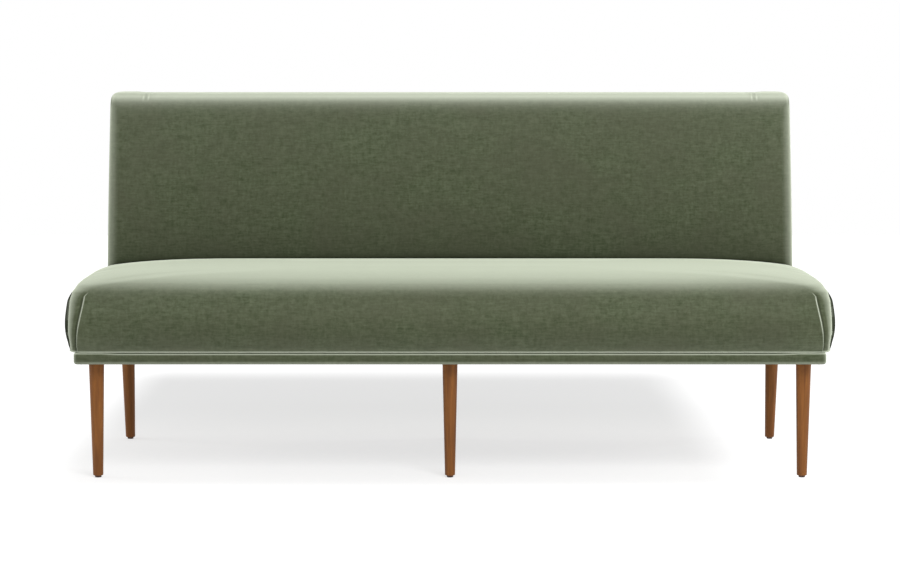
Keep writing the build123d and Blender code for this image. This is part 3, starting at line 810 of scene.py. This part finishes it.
def outsideBack():
    half = backHalf - outsidePanel["inset"]
    low, high = platformTop + outsidePanel["footGap"], backTop - outsidePanel["inset"]
    columns, rows = outsidePanel["columns"], outsidePanel["rows"]
    deselectAll()
    bpy.ops.mesh.primitive_grid_add(x_subdivisions=columns, y_subdivisions=rows, size=2)
    piece = newPiece("outsideBackPanel")
    points = meshPoints(piece)
    x, z = points[:, 0] * half, low + (points[:, 1] + 1) / 2 * (high - low)
    setPoints(piece, np.stack([x, outsideLine(z) - outsidePanel["thickness"], z], axis=1))
    pickAll()
    bpy.ops.mesh.extrude_region_move(TRANSFORM_OT_translate={"value": (0, outsidePanel["thickness"], 0)})
    for inset, proud in outsidePanel["padding"]:
        bpy.ops.mesh.inset(thickness=inset)
        bpy.ops.transform.translate(value=(0, proud, 0))
    objectMode()
    outwards(piece)
    makeFiner(piece, 2)
    return piece


# Base band wrapped round the platform

band = {
    "cornerRadius": 0.011, "edgeRadius": 0.0068, "roundSegments": 10, "flange": 0.018, "fabric": 0.0015,
    "topDrop": 0.0005, "wrapUnder": 0.0028,
    # cuts that carry the painted highlights and shade, by their distance below the platform's top and from
    # its middle
    "rings": (0.0095, 0.012, 0.014, 0.016, 0.018, 0.020), "cuts": (-0.82, -0.80, -0.78, 0.78, 0.80, 0.82),
    # painted highlights along the top and the foot, painted shade in the groove, on the face and in its
    # hollow
    "topLine": 0.44, "topLinePlace": 0.0024, "topLineDeeper": 0.0020, "topLineReach": 0.0013,
    "footLine": 0.21, "footLineDrop": 0.0004, "footLineReach": 0.003,
    "groove": 0.78, "grooveFall": (0.0016, 0.0032), "face": 0.06, "faceFall": (0.007, 0.010),
    "hollow": 0.16, "hollowPlace": 0.0178, "hollowReach": 0.004,
}


def baseBand():
    lowest = bandLow - Vector((0, 0, band["wrapUnder"]))
    highest = bandHigh - Vector((0, 0, band["topDrop"]))
    size, middle = highest - lowest, (highest + lowest) / 2
    deselectAll()
    bpy.ops.mesh.primitive_cube_add(size=1, location=middle, scale=size)
    piece = newPiece("baseBand")
    placeInMesh(piece)
    roundEdges(piece, lambda a, b: abs(a.z - b.z) > tiny, band["cornerRadius"], band["roundSegments"])
    roundEdges(piece, lambda a, b: abs(a.z - b.z) < tiny, band["edgeRadius"], band["roundSegments"])
    for below in band["rings"]:
        cutAcross((0, 0, platformTop - below), (0, 0, 1))
    for x in band["cuts"]:
        cutAcross((x, 0, 0), (1, 0, 0))
    pickFaces(piece, lambda centre, normal: abs(normal.z) > facingShare)
    editMode("FACE")
    bpy.ops.mesh.inset(thickness=band["flange"] - band["edgeRadius"])
    bpy.ops.mesh.delete(type="FACE")
    objectMode()
    wall = piece.modifiers.new("fabric", "SOLIDIFY")
    wall.thickness = band["fabric"]
    wall.offset = -1
    applyModifiers(piece)
    shadeBand(piece)
    return piece


def shadeBand(piece):
    # Painted highlights along its two edges, with painted shade in the groove over the upper one and on the
    # face
    points = meshPoints(piece)
    below, deep = platformTop - points[:, 2], grooveDepth(points)
    top = np.exp(-((below - band["topLinePlace"] - band["topLineDeeper"] * deep) / band["topLineReach"]) ** 2)
    foot = bandHigh.z - bandLow.z - band["footLineDrop"]
    bottom = np.exp(-((below - foot) / band["footLineReach"]) ** 2)
    setMask(piece, "paintedLight", band["topLine"] * top + band["footLine"] * bottom)
    # Painted shade in the groove and on the lower face
    groove = band["groove"] * (1 - smoothStep(*band["grooveFall"], below)) * deep
    hollow = band["face"] * smoothStep(*band["faceFall"], below)
    hollow += band["hollow"] * np.exp(-((below - band["hollowPlace"]) / band["hollowReach"]) ** 2)
    setMask(piece, "paintedShade", np.maximum(groove, hollow * (1 - bottom)))


# Legs, round and tapered; the rear ones rake back

legNodes = [row + "_" + side + "_leg" for row in ("front", "rear") for side in ("left", "centre", "right")]
legShape = {
    "topRadius": 0.0182, "footRadius": 0.0121, "margin": 0.012, "sides": 64,
    "chamfer": 0.0016, "chamferSegments": 3, "rearSetback": 0.028,
    "rings": (0.0035, 0.006), "topShade": 0.85, "topShadeReach": 0.004,
    # how far the grain is moved from one leg to the next, so that no two are alike
    "grainShift": (0.37, 0.11, 0.53),
}


def legPiece(node, number):
    first, *rest = node.split("_")
    name = first + "".join(word.capitalize() for word in rest)
    low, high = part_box(node)
    foot, top = low.z, high.z
    setback = legShape["rearSetback"] if node.startswith("rear") else 0
    x, y = (low.x + high.x) / 2, low.y + legShape["topRadius"]
    run = top - foot
    length = math.hypot(run, setback)
    tilt = math.atan2(setback, run)
    growth = (legShape["topRadius"] - legShape["footRadius"]) / length * legShape["margin"]
    deselectAll()
    bpy.ops.mesh.primitive_cone_add(
        vertices=legShape["sides"], depth=length + 2 * legShape["margin"],
        radius1=legShape["footRadius"] - growth, radius2=legShape["topRadius"] + growth,
        location=(0, 0, -length / 2))
    piece = newPiece(name)
    placeInMesh(piece)
    pickAll()
    bpy.ops.transform.rotate(value=-tilt if tilt else 0, orient_axis="X", center_override=(0, 0, 0))
    objectMode()
    setPoints(piece, meshPoints(piece) + np.array((x, y, top)))
    cutAcross((x, y, top), (0, 0, 1), use_fill=True, clear_outer=True)
    cutAcross((x, y, foot), (0, 0, 1), use_fill=True, clear_inner=True)
    for below in legShape["rings"]:
        cutAcross((x, y, top - below), (0, 0, 1))
    chamfer, segments = legShape["chamfer"], legShape["chamferSegments"]
    roundEdges(piece, lambda a, b: max(a.z, b.z) < foot + tiny, chamfer, segments)
    outwards(piece)
    smoothShade(piece, sharpAngle)
    shadeLeg(piece, top, tilt, number)
    return piece


def shadeLeg(piece, top, tilt, number):
    # The grain runs along the leg, raked or not; the top is dark, where the band hides it from the light
    points = meshPoints(piece)
    below = top - points[:, 2]
    setMask(piece, "paintedShade", legShape["topShade"] * (below < legShape["topShadeReach"]))
    points[:, 1] -= np.tan(tilt) * below
    points += number * np.array(legShape["grainShift"])
    place = piece.data.attributes.new("grainPlace", "FLOAT_VECTOR", "POINT")
    place.data.foreach_set("vector", points.astype(np.float32).reshape(-1))


glide = {
    "radius": 0.0078, "height": 0.005, "round": 0.0015, "roundSegments": 4, "sides": 40,
    "nailRadius": 0.0012, "nailLength": 0.015,
}


def footGlides():
    parts = []
    for node in legNodes:
        low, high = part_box(node)
        setback = legShape["rearSetback"] if node.startswith("rear") else 0
        x, y = (low.x + high.x) / 2, low.y + legShape["topRadius"] + setback
        deselectAll()
        bpy.ops.mesh.primitive_cylinder_add(vertices=glide["sides"], radius=glide["radius"],
                                            depth=glide["height"], location=(x, y, glide["height"] / 2))
        pad = newPiece("pad")
        placeInMesh(pad)
        roundEdges(pad, lambda a, b: max(a.z, b.z) < tiny, glide["round"], glide["roundSegments"])
        pickFaces(pad, lambda centre, normal: normal.z > facingShare)
        editMode("FACE")
        bpy.ops.mesh.inset(thickness=glide["radius"] - glide["nailRadius"])
        bpy.ops.mesh.extrude_region_move(TRANSFORM_OT_translate={"value": (0, 0, glide["nailLength"])})
        objectMode()
        parts.append(pad)
    deselectAll()
    for part in parts:
        part.select_set(True)
    bpy.context.view_layer.objects.active = parts[0]
    bpy.ops.object.join()
    piece = newPiece("footGlides")
    smoothShade(piece, sharpAngle)
    return piece


# Materials

def nodeGroup(name, inputs, outputs):
    group = bpy.data.node_groups.new(name, "ShaderNodeTree")
    for label, kind, value in inputs:
        socket = group.interface.new_socket(label, in_out="INPUT", socket_type=kind)
        if value is not None:
            socket.default_value = value
    for label, kind in outputs:
        group.interface.new_socket(label, in_out="OUTPUT", socket_type=kind)
    return group, group.nodes.new("NodeGroupInput"), group.nodes.new("NodeGroupOutput")


def maskValue(tree, name):
    node = tree.nodes.new("ShaderNodeAttribute")
    node.attribute_name = name
    return node.outputs["Fac"]


def mathNode(tree, operation, first, second=None, clamp=False):
    node = tree.nodes.new("ShaderNodeMath")
    node.operation = operation
    node.use_clamp = clamp
    for number, value in enumerate((first, second)):
        if value is None:
            continue
        if isinstance(value, (int, float)):
            node.inputs[number].default_value = value
        else:
            tree.links.new(value, node.inputs[number])
    return node.outputs[0]


def mixColour(tree, share, first, second):
    # Sockets 6 and 7 of the node are its two colours
    node = tree.nodes.new("ShaderNodeMix")
    node.data_type = "RGBA"
    for socket, value in ((node.inputs[0], share), (node.inputs[6], first), (node.inputs[7], second)):
        if isinstance(value, (int, float, tuple)):
            socket.default_value = value
        else:
            tree.links.new(value, socket)
    return node.outputs[2]


def stretched(tree, vector, scale, turn=(0, 0, 0)):
    node = tree.nodes.new("ShaderNodeMapping")
    node.inputs["Scale"].default_value = scale
    node.inputs["Rotation"].default_value = turn
    tree.links.new(vector, node.inputs["Vector"])
    return node.outputs[0]


def noise(tree, vector, scale, detail=2.0, rough=0.5, distortion=0.0):
    node = tree.nodes.new("ShaderNodeTexNoise")
    values = {"Scale": scale, "Detail": detail, "Roughness": rough, "Distortion": distortion}
    for label, value in values.items():
        node.inputs[label].default_value = value
    tree.links.new(vector, node.inputs["Vector"])
    return node.outputs[0]


def stretchedNoise(tree, vector, look):
    # look holds how far the pattern is drawn together along each axis, then the noise's own values
    return noise(tree, stretched(tree, vector, look[0]), *look[1:])


def blend(tree, first, second, share):
    # The first value and a share of the second one
    rest = mathNode(tree, "MULTIPLY", second, share)
    return mathNode(tree, "ADD", mathNode(tree, "MULTIPLY", first, 1 - share), rest)


def spread(tree, value, low, high):
    # Stretches a band of values to 0 and 1
    node = tree.nodes.new("ShaderNodeMapRange")
    node.inputs["From Min"].default_value = low
    node.inputs["From Max"].default_value = high
    tree.links.new(value, node.inputs["Value"])
    return node.outputs[0]


pile = {
    "patches": ((1.0, 1.0, 1.3), 7.0, 5.0, 0.62), "level": ((1.0, 1.0, 5.0), 42.0, 3.0, 0.6),
    "upright": ((4.0, 4.0, 1.0), 34.0, 3.0, 0.6), "marks": (88.0, 4.0, 0.7, 0.8), "tufts": (1500.0, 1.0, 0.5),
    "uprightShare": 0.38, "marksShare": 0.38, "patchesSpread": (0.32, 0.68), "strokesSpread": (0.36, 0.64),
}


def pileGroup():
    # Cut pile: soft patches where the nap lies differently, short cross strokes, and the fine tufts
    group, source, sink = nodeGroup(
        "velvetPile", [("Vector", "NodeSocketVector", None)],
        [("Patches", "NodeSocketFloat"), ("Strokes", "NodeSocketFloat"), ("Tufts", "NodeSocketFloat")])
    vector = source.outputs["Vector"]
    patches = stretchedNoise(group, vector, pile["patches"])
    level = stretchedNoise(group, vector, pile["level"])
    upright = stretchedNoise(group, vector, pile["upright"])
    strokes = blend(group, level, upright, pile["uprightShare"])
    strokes = blend(group, strokes, noise(group, vector, *pile["marks"]), pile["marksShare"])
    group.links.new(spread(group, patches, *pile["patchesSpread"]), sink.inputs["Patches"])
    group.links.new(spread(group, strokes, *pile["strokesSpread"]), sink.inputs["Strokes"])
    group.links.new(noise(group, vector, *pile["tufts"]), sink.inputs["Tufts"])
    return group


grain = {
    "Bands": ((1.0, 1.0, 0.06), 95.0, 2.0, 0.5, 0.6), "Fibres": ((1.0, 1.0, 0.025), 620.0, 3.0, 0.6),
    "Pores": ((1.0, 1.0, 0.05), 1100.0, 1.0, 0.5),
    "spreads": {"Bands": (0.3, 0.7), "Fibres": (0.3, 0.7), "Pores": (0.60, 0.72)},
}


def grainGroup():
    # Straight wood grain along Z: broad bands, fine fibres and short dark pores
    group, source, sink = nodeGroup(
        "woodGrain", [("Vector", "NodeSocketVector", None), ("Size", "NodeSocketFloat", 1.0)],
        [("Bands", "NodeSocketFloat"), ("Fibres", "NodeSocketFloat"), ("Pores", "NodeSocketFloat")])
    scaled = group.nodes.new("ShaderNodeVectorMath")
    scaled.operation = "SCALE"
    group.links.new(source.outputs["Vector"], scaled.inputs[0])
    group.links.new(source.outputs["Size"], scaled.inputs["Scale"])
    for name, ends in grain["spreads"].items():
        pattern = stretchedNoise(group, scaled.outputs[0], grain[name])
        group.links.new(spread(group, pattern, *ends), sink.inputs[name])
    return group


strap = {
    "low": (0.015, 0.015, 0.016, 1), "high": (0.09, 0.09, 0.095, 1), "pitch": 0.002, "roughness": 0.8,
    "fuzz": (900.0, 2.0), "bumpDepth": 0.0004, "bumpStrength": 0.6,
}


def weaveGroup():
    # Over and under ribs of a flat woven strap
    group, source, sink = nodeGroup(
        "ribbedWeave", [("Vector", "NodeSocketVector", None), ("Pitch", "NodeSocketFloat", strap["pitch"])],
        [("Ribs", "NodeSocketFloat")])
    parts = group.nodes.new("ShaderNodeSeparateXYZ")
    group.links.new(source.outputs["Vector"], parts.inputs[0])
    waves = []
    for axis in ("X", "Y", "Z"):
        turns = mathNode(group, "DIVIDE", parts.outputs[axis], source.outputs["Pitch"])
        waves.append(mathNode(group, "SINE", mathNode(group, "MULTIPLY", turns, 2 * math.pi)))
    both = mathNode(group, "MULTIPLY", waves[0], mathNode(group, "ADD", waves[1], waves[2]))
    group.links.new(spread(group, both, -1.0, 1.0), sink.inputs["Ribs"])
    return group


def newMaterial(name):
    material = bpy.data.materials.new(name)
    material.use_nodes = True
    tree = material.node_tree
    shader = tree.nodes["Principled BSDF"]
    place = tree.nodes.new("ShaderNodeTexCoord").outputs["Object"]
    return material, tree, shader, place


def placeGroup(tree, group, **links):
    node = tree.nodes.new("ShaderNodeGroup")
    node.node_tree = group
    for label, value in links.items():
        if isinstance(value, (int, float)):
            node.inputs[label].default_value = value
        else:
            tree.links.new(value, node.inputs[label])
    return node


def bump(tree, shader, height, distance, strength):
    node = tree.nodes.new("ShaderNodeBump")
    node.inputs["Distance"].default_value = distance
    node.inputs["Strength"].default_value = strength
    tree.links.new(height, node.inputs["Height"])
    tree.links.new(node.outputs[0], shader.inputs["Normal"])


velvet = {
    "deep": (0.046, 0.062, 0.026, 1), "pale": (0.120, 0.141, 0.083, 1), "warm": (0.084, 0.088, 0.054, 1),
    # colours of the painted highlights and of the painted shade
    "paintedHighlight": (0.84, 0.90, 0.74, 1), "shade": (0.012, 0.017, 0.006, 1),
    # painted sheen, pale where the cloth is seen at a grazing angle
    "haze": (0.72, 0.785, 0.62, 1), "paintedSheenPower": 1.36, "paintedSheenMost": 0.92,
    # painted highlight right at the outline
    "crest": (0.90, 0.95, 0.80, 1), "outlineHighlightFacing": (0.93, 0.985), "outlineHighlightMost": 0.8,
    "sheenTint": (0.86, 0.93, 0.76, 1), "sheenWeight": 0.55, "sheenRoughness": 0.42,
    "roughness": 0.86, "specular": 0.18, "warmShare": 0.55,
    # the painted sheen seen by the camera in full, and this share of it in the light that the cloth throws on
    "paintedSheenUnseen": 0.2, "strokeDepth": 0.8, "bumpDepth": 0.0005, "bumpStrength": 0.5,
}


def velvetMaterial():
    material, tree, shader, place = newMaterial("sageVelvet")
    cloth = placeGroup(tree, pileGroup(), Vector=place).outputs
    colour = mixColour(tree, cloth["Strokes"], velvet["deep"], velvet["pale"])
    warm = mathNode(tree, "MULTIPLY", cloth["Patches"], velvet["warmShare"])
    colour = mixColour(tree, warm, colour, velvet["warm"])
    # Painted sheen: a pale colour mixed in where the cloth is seen at a grazing angle, in full for the
    # camera, and only where it faces up
    weight = tree.nodes.new("ShaderNodeLayerWeight")
    weight.inputs["Blend"].default_value = 0.5
    facing, nap = weight.outputs["Facing"], maskValue(tree, "nap")
    haze = mathNode(tree, "POWER", facing, velvet["paintedSheenPower"])
    seen = tree.nodes.new("ShaderNodeLightPath").outputs["Is Camera Ray"]
    dim = mathNode(tree, "MULTIPLY", seen, 1 - velvet["paintedSheenUnseen"])
    dim = mathNode(tree, "ADD", dim, velvet["paintedSheenUnseen"])
    haze = mathNode(tree, "MULTIPLY", mathNode(tree, "MULTIPLY", haze, dim), nap)
    colour = mixColour(tree, mathNode(tree, "MULTIPLY", haze, velvet["paintedSheenMost"]), colour, velvet["haze"])
    # Painted highlight right at the outline, for the camera only
    crest = mathNode(tree, "MULTIPLY", spread(tree, facing, *velvet["outlineHighlightFacing"]), seen)
    crest = mathNode(tree, "MULTIPLY", crest, nap)
    colour = mixColour(tree, mathNode(tree, "MULTIPLY", crest, velvet["outlineHighlightMost"]), colour, velvet["crest"])
    # Painted highlights and painted shade, from the masks that the pieces carry
    dark = maskValue(tree, "paintedShade")
    colour = mixColour(tree, maskValue(tree, "paintedLight"), colour, velvet["paintedHighlight"])
    tree.links.new(mixColour(tree, dark, colour, velvet["shade"]), shader.inputs["Base Color"])
    shader.inputs["Roughness"].default_value = velvet["roughness"]
    shader.inputs["Specular IOR Level"].default_value = velvet["specular"]
    # Where shade is painted, the sheen is taken away too
    lit = mathNode(tree, "SUBTRACT", 1.0, dark)
    tree.links.new(mathNode(tree, "MULTIPLY", lit, velvet["sheenWeight"]), shader.inputs["Sheen Weight"])
    shader.inputs["Sheen Roughness"].default_value = velvet["sheenRoughness"]
    shader.inputs["Sheen Tint"].default_value = velvet["sheenTint"]
    strokes = mathNode(tree, "MULTIPLY", cloth["Strokes"], velvet["strokeDepth"])
    height = mathNode(tree, "ADD", cloth["Tufts"], strokes)
    bump(tree, shader, height, velvet["bumpDepth"], velvet["bumpStrength"])
    return material


woods = {
    "raw": {
        "light": (0.60, 0.44, 0.27, 1), "mid": (0.50, 0.35, 0.20, 1), "dark": (0.40, 0.26, 0.13, 1),
        "roughness": 0.7, "coat": 0.0, "size": 0.5,
    },
    "walnut": {
        "light": (0.310, 0.118, 0.024, 1), "mid": (0.225, 0.080, 0.015, 1), "dark": (0.155, 0.052, 0.010, 1),
        "roughness": 0.50, "coat": 0.05, "size": 1.0,
    },
    "fibreShare": 0.45, "poreShare": 0.5, "fibreRoughness": 0.12, "coatRoughness": 0.35, "specular": 0.25,
    "shade": (0.012, 0.004, 0.001, 1), "bumpDepth": 0.0002, "bumpStrength": 0.35,
}


def woodMaterial(name, group, look, turn=None):
    # Without a turn the grain follows the legs' own grainPlace, and the painted shade on their tops shows
    material, tree, shader, place = newMaterial(name)
    if turn is None:
        node = tree.nodes.new("ShaderNodeAttribute")
        node.attribute_name = "grainPlace"
        place = node.outputs["Vector"]
    else:
        place = stretched(tree, place, (1, 1, 1), turn)
    wood = placeGroup(tree, group, Vector=place, Size=look["size"]).outputs
    fibres = mathNode(tree, "MULTIPLY", wood["Fibres"], woods["fibreShare"])
    pores = mathNode(tree, "MULTIPLY", wood["Pores"], woods["poreShare"])
    colour = mixColour(tree, wood["Bands"], look["dark"], look["light"])
    colour = mixColour(tree, fibres, colour, look["mid"])
    colour = mixColour(tree, pores, colour, look["dark"])
    if turn is None:
        # Painted shade on the top of each leg
        colour = mixColour(tree, maskValue(tree, "paintedShade"), colour, woods["shade"])
    tree.links.new(colour, shader.inputs["Base Color"])
    rough = mathNode(tree, "MULTIPLY", wood["Fibres"], woods["fibreRoughness"])
    tree.links.new(mathNode(tree, "ADD", rough, look["roughness"]), shader.inputs["Roughness"])
    shader.inputs["Coat Weight"].default_value = look["coat"]
    shader.inputs["Coat Roughness"].default_value = woods["coatRoughness"]
    shader.inputs["Specular IOR Level"].default_value = woods["specular"]
    bump(tree, shader, wood["Fibres"], woods["bumpDepth"], woods["bumpStrength"])
    return material


def strapMaterial(name):
    material, tree, shader, place = newMaterial(name)
    ribs = placeGroup(tree, weaveGroup(), Vector=place, Pitch=strap["pitch"]).outputs["Ribs"]
    share = mathNode(tree, "MULTIPLY", ribs, noise(tree, place, *strap["fuzz"]))
    tree.links.new(mixColour(tree, share, strap["low"], strap["high"]), shader.inputs["Base Color"])
    shader.inputs["Roughness"].default_value = strap["roughness"]
    bump(tree, shader, ribs, strap["bumpDepth"], strap["bumpStrength"])
    return material


# Plain finishes by the part's slot: name, the two colours of the clouds, their scale, roughness, metallic
mottled = {
    "back_board": ("fibreBoard", (0.30, 0.19, 0.10, 1), (0.42, 0.29, 0.17, 1), 240.0, 0.85, 0.0),
    "dust_cloth": ("dustCloth", (0.012, 0.012, 0.012, 1), (0.035, 0.035, 0.035, 1), 700.0, 0.95, 0.0),
    "steel": ("zincSteel", (0.50, 0.51, 0.53, 1), (0.66, 0.66, 0.66, 1), 90.0, 0.38, 1.0),
    "glide_plastic": ("brownNylon", (0.055, 0.024, 0.012, 1), (0.085, 0.038, 0.020, 1), 300.0, 0.55, 0.0),
    "foam": ("openCellFoam", (0.72, 0.66, 0.48, 1), (0.86, 0.82, 0.66, 1), 500.0, 0.95, 0.0),
}
clouds = {
    "detail": 4.0, "rough": 0.6, "spread": (0.3, 0.7), "roughnessRange": 0.2,
    "bumpDepth": 0.0001, "bumpStrength": 0.5,
}


def mottledMaterial(name, low, high, scale, roughness, metallic):
    material, tree, shader, place = newMaterial(name)
    cloud = noise(tree, place, scale, clouds["detail"], clouds["rough"])
    share = spread(tree, cloud, *clouds["spread"])
    tree.links.new(mixColour(tree, share, low, high), shader.inputs["Base Color"])
    rough = mathNode(tree, "MULTIPLY", cloud, clouds["roughnessRange"])
    rough = mathNode(tree, "ADD", rough, roughness - clouds["roughnessRange"] / 2)
    tree.links.new(rough, shader.inputs["Roughness"])
    shader.inputs["Metallic"].default_value = metallic
    bump(tree, shader, cloud, clouds["bumpDepth"], clouds["bumpStrength"])
    return material


def paint(piece, material):
    piece.data.materials.clear()
    piece.data.materials.append(material)


# Build the pieces

woodGrain = grainGroup()
slotMaterials = {slot: mottledMaterial(*look) for slot, look in mottled.items()}
slotMaterials["velvet"] = velvetMaterial()
slotMaterials["leg_wood"] = woodMaterial("walnutStain", woodGrain, woods["walnut"])
slotMaterials["webbing"] = strapMaterial("ribbedWebbing")
grainTurns = {"x": (0, math.pi / 2, 0), "y": (math.pi / 2, 0, 0), "z": (0, 0, 0)}
rawWood = {
    axis: woodMaterial("rawWood_" + axis, woodGrain, woods["raw"], turn) for axis, turn in grainTurns.items()
}
print("materials made")


def finishVelvet(piece, replaced):
    paint(piece, slotMaterials["velvet"])
    paintSheenUpward(piece)
    for face in piece.data.polygons:
        face.use_smooth = True
    for mask in ("paintedLight", "paintedShade"):
        if mask not in piece.data.attributes:
            setMask(piece, mask, np.zeros(len(piece.data.vertices)))
    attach(piece, body)
    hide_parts(*replaced)


seat = seatCushion()
pleatSeat(seat)
finishVelvet(seat, ["seat_cover", "seat_foam", "front_foam_roll", "left_foam_roll", "right_foam_roll"])
print("seat cushion", len(seat.data.polygons), "faces")

back = backCushion()
pinchBack(back)
finishVelvet(back, ["inside_back_cover", "back_foam", "back_top_roll"])
print("back cushion", len(back.data.polygons), "faces")

panel = outsideBack()
finishVelvet(panel, ["outside_back_cover"])
wrap = baseBand()
finishVelvet(wrap, ["front_band_cover", "rear_band_cover", "left_band_cover", "right_band_cover"])
print("outside back and base band made")

for number, node in enumerate(legNodes):
    leg = legPiece(node, number)
    paint(leg, slotMaterials["leg_wood"])
    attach(leg, body)
    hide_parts(node)
glides = footGlides()
paint(glides, slotMaterials["glide_plastic"])
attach(glides, body)
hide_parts("foot_glides")
print("legs and glides made")

# The inner nodes take their slot's finish; raw wood has its grain along the longest side
for row in frame["record"]["subparts"]:
    node = nodes[row["node"]]
    low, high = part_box(row["node"])
    longest = max(range(3), key=lambda axis: high[axis] - low[axis])
    paint(node, slotMaterials.get(row["material_slot"], rawWood["xyz"[longest]]))
print("frame nodes painted")


# Studio

studio = {
    "lens": 89.66, "pitch": 5.762, "distance": 5.5639, "height": 0.9955,
    "sensor": 36, "floor": 14.0, "floorGrey": (0.92, 0.92, 0.92, 1), "floorWhite": 1.165, "worldLight": 0.42,
    # how much of the lit floor shows under the bench and behind it, and where that share ends on each side
    "floorShares": (0.41, 0.66), "shareDepth": (0.0, 0.9),
    "leftEnd": (-1.08, -0.86), "rightEnd": (0.84, 0.58), "rearEnd": (1.70, 1.30), "frontEnd": (-0.50, -0.34),
}
keyLights = (
    # name, place, aim, width, height, watts
    ("key", (1.2, -3.5, 3.6), (0, 0, 0.4), 2.2, 1.8, 125),
    ("overhead", (0.0, -0.1, 3.6), (0, 0, 0.4), 4.0, 2.4, 17),
    ("leftSide", (-3.6, 0.4, 1.6), (0, 0, 0.5), 1.6, 1.6, 26),
    ("rightSide", (3.6, 0.4, 1.6), (0, 0, 0.5), 1.6, 1.6, 36),
)


def seenRay(tree):
    # One for what the camera sees straight, mirrored or through glass
    path = tree.nodes.new("ShaderNodeLightPath")
    seen = mathNode(tree, "ADD", path.outputs["Is Camera Ray"], path.outputs["Is Glossy Ray"])
    return mathNode(tree, "ADD", seen, path.outputs["Is Transmission Ray"], clamp=True)


def ramp(tree, value, start, full, low=0.0, high=1.0):
    # Rises smoothly from low at the start to high at the full value
    node = tree.nodes.new("ShaderNodeMapRange")
    node.interpolation_type = "SMOOTHSTEP"
    for label, number in (("From Min", start), ("From Max", full), ("To Min", low), ("To Max", high)):
        node.inputs[label].default_value = number
    tree.links.new(value, node.inputs["Value"])
    return node.outputs[0]


def floorGlow(tree):
    # All glow far off; under and behind the bench some of the lit floor shows, with the shadow on it
    parts = tree.nodes.new("ShaderNodeSeparateXYZ")
    tree.links.new(tree.nodes.new("ShaderNodeTexCoord").outputs["Object"], parts.inputs[0])
    share = ramp(tree, parts.outputs["Y"], *studio["shareDepth"], *studio["floorShares"])
    for axis, end in (("X", "leftEnd"), ("X", "rightEnd"), ("Y", "rearEnd"), ("Y", "frontEnd")):
        share = mathNode(tree, "MULTIPLY", share, ramp(tree, parts.outputs[axis], *studio[end]))
    return mathNode(tree, "SUBTRACT", 1.0, share)


def makeFloor():
    deselectAll()
    bpy.ops.mesh.primitive_plane_add(size=studio["floor"], location=(0, 0, 0))
    floor = newPiece("studioFloor")
    material = bpy.data.materials.new("studioFloor")
    material.use_nodes = True
    tree = material.node_tree
    tree.nodes.clear()
    out = tree.nodes.new("ShaderNodeOutputMaterial")
    matte, glow, mix = (tree.nodes.new(kind) for kind in
                        ("ShaderNodeBsdfDiffuse", "ShaderNodeEmission", "ShaderNodeMixShader"))
    matte.inputs["Color"].default_value = studio["floorGrey"]
    glow.inputs["Color"].default_value = (1, 1, 1, 1)
    glow.inputs["Strength"].default_value = studio["floorWhite"]
    tree.links.new(mathNode(tree, "MULTIPLY", seenRay(tree), floorGlow(tree)), mix.inputs[0])
    tree.links.new(matte.outputs[0], mix.inputs[1])
    tree.links.new(glow.outputs[0], mix.inputs[2])
    tree.links.new(mix.outputs[0], out.inputs["Surface"])
    paint(floor, material)


def makeWorld():
    world = bpy.data.worlds.new("studio")
    bpy.context.scene.world = world
    world.use_nodes = True
    tree = world.node_tree
    background = tree.nodes["Background"]
    background.inputs["Color"].default_value = (1, 1, 1, 1)
    dim = mathNode(tree, "MULTIPLY", seenRay(tree), 1 - studio["worldLight"])
    tree.links.new(mathNode(tree, "ADD", dim, studio["worldLight"]), background.inputs["Strength"])


def makeLights():
    for name, place, aim, width, height, watts in keyLights:
        lamp = bpy.data.lights.new(name, "AREA")
        lamp.shape = "RECTANGLE"
        lamp.size, lamp.size_y = width, height
        lamp.energy = watts
        holder = bpy.data.objects.new(name, lamp)
        bpy.context.scene.collection.objects.link(holder)
        holder.location = place
        holder.rotation_euler = (Vector(aim) - Vector(place)).to_track_quat("-Z", "Y").to_euler()


def makeCamera():
    lens = bpy.data.cameras.new("camera")
    lens.lens = studio["lens"]
    lens.sensor_width = studio["sensor"]
    lens.sensor_fit = "HORIZONTAL"
    camera = bpy.data.objects.new("camera", lens)
    bpy.context.scene.collection.objects.link(camera)
    camera.location = (0, -studio["distance"], studio["height"])
    camera.rotation_euler = (math.radians(90 - studio["pitch"]), 0, 0)
    bpy.context.scene.camera = camera


makeFloor()
makeWorld()
makeLights()
makeCamera()
bpy.context.scene.view_settings.view_transform = "Standard"
print("studio made")

bpy.context.view_layer.update()
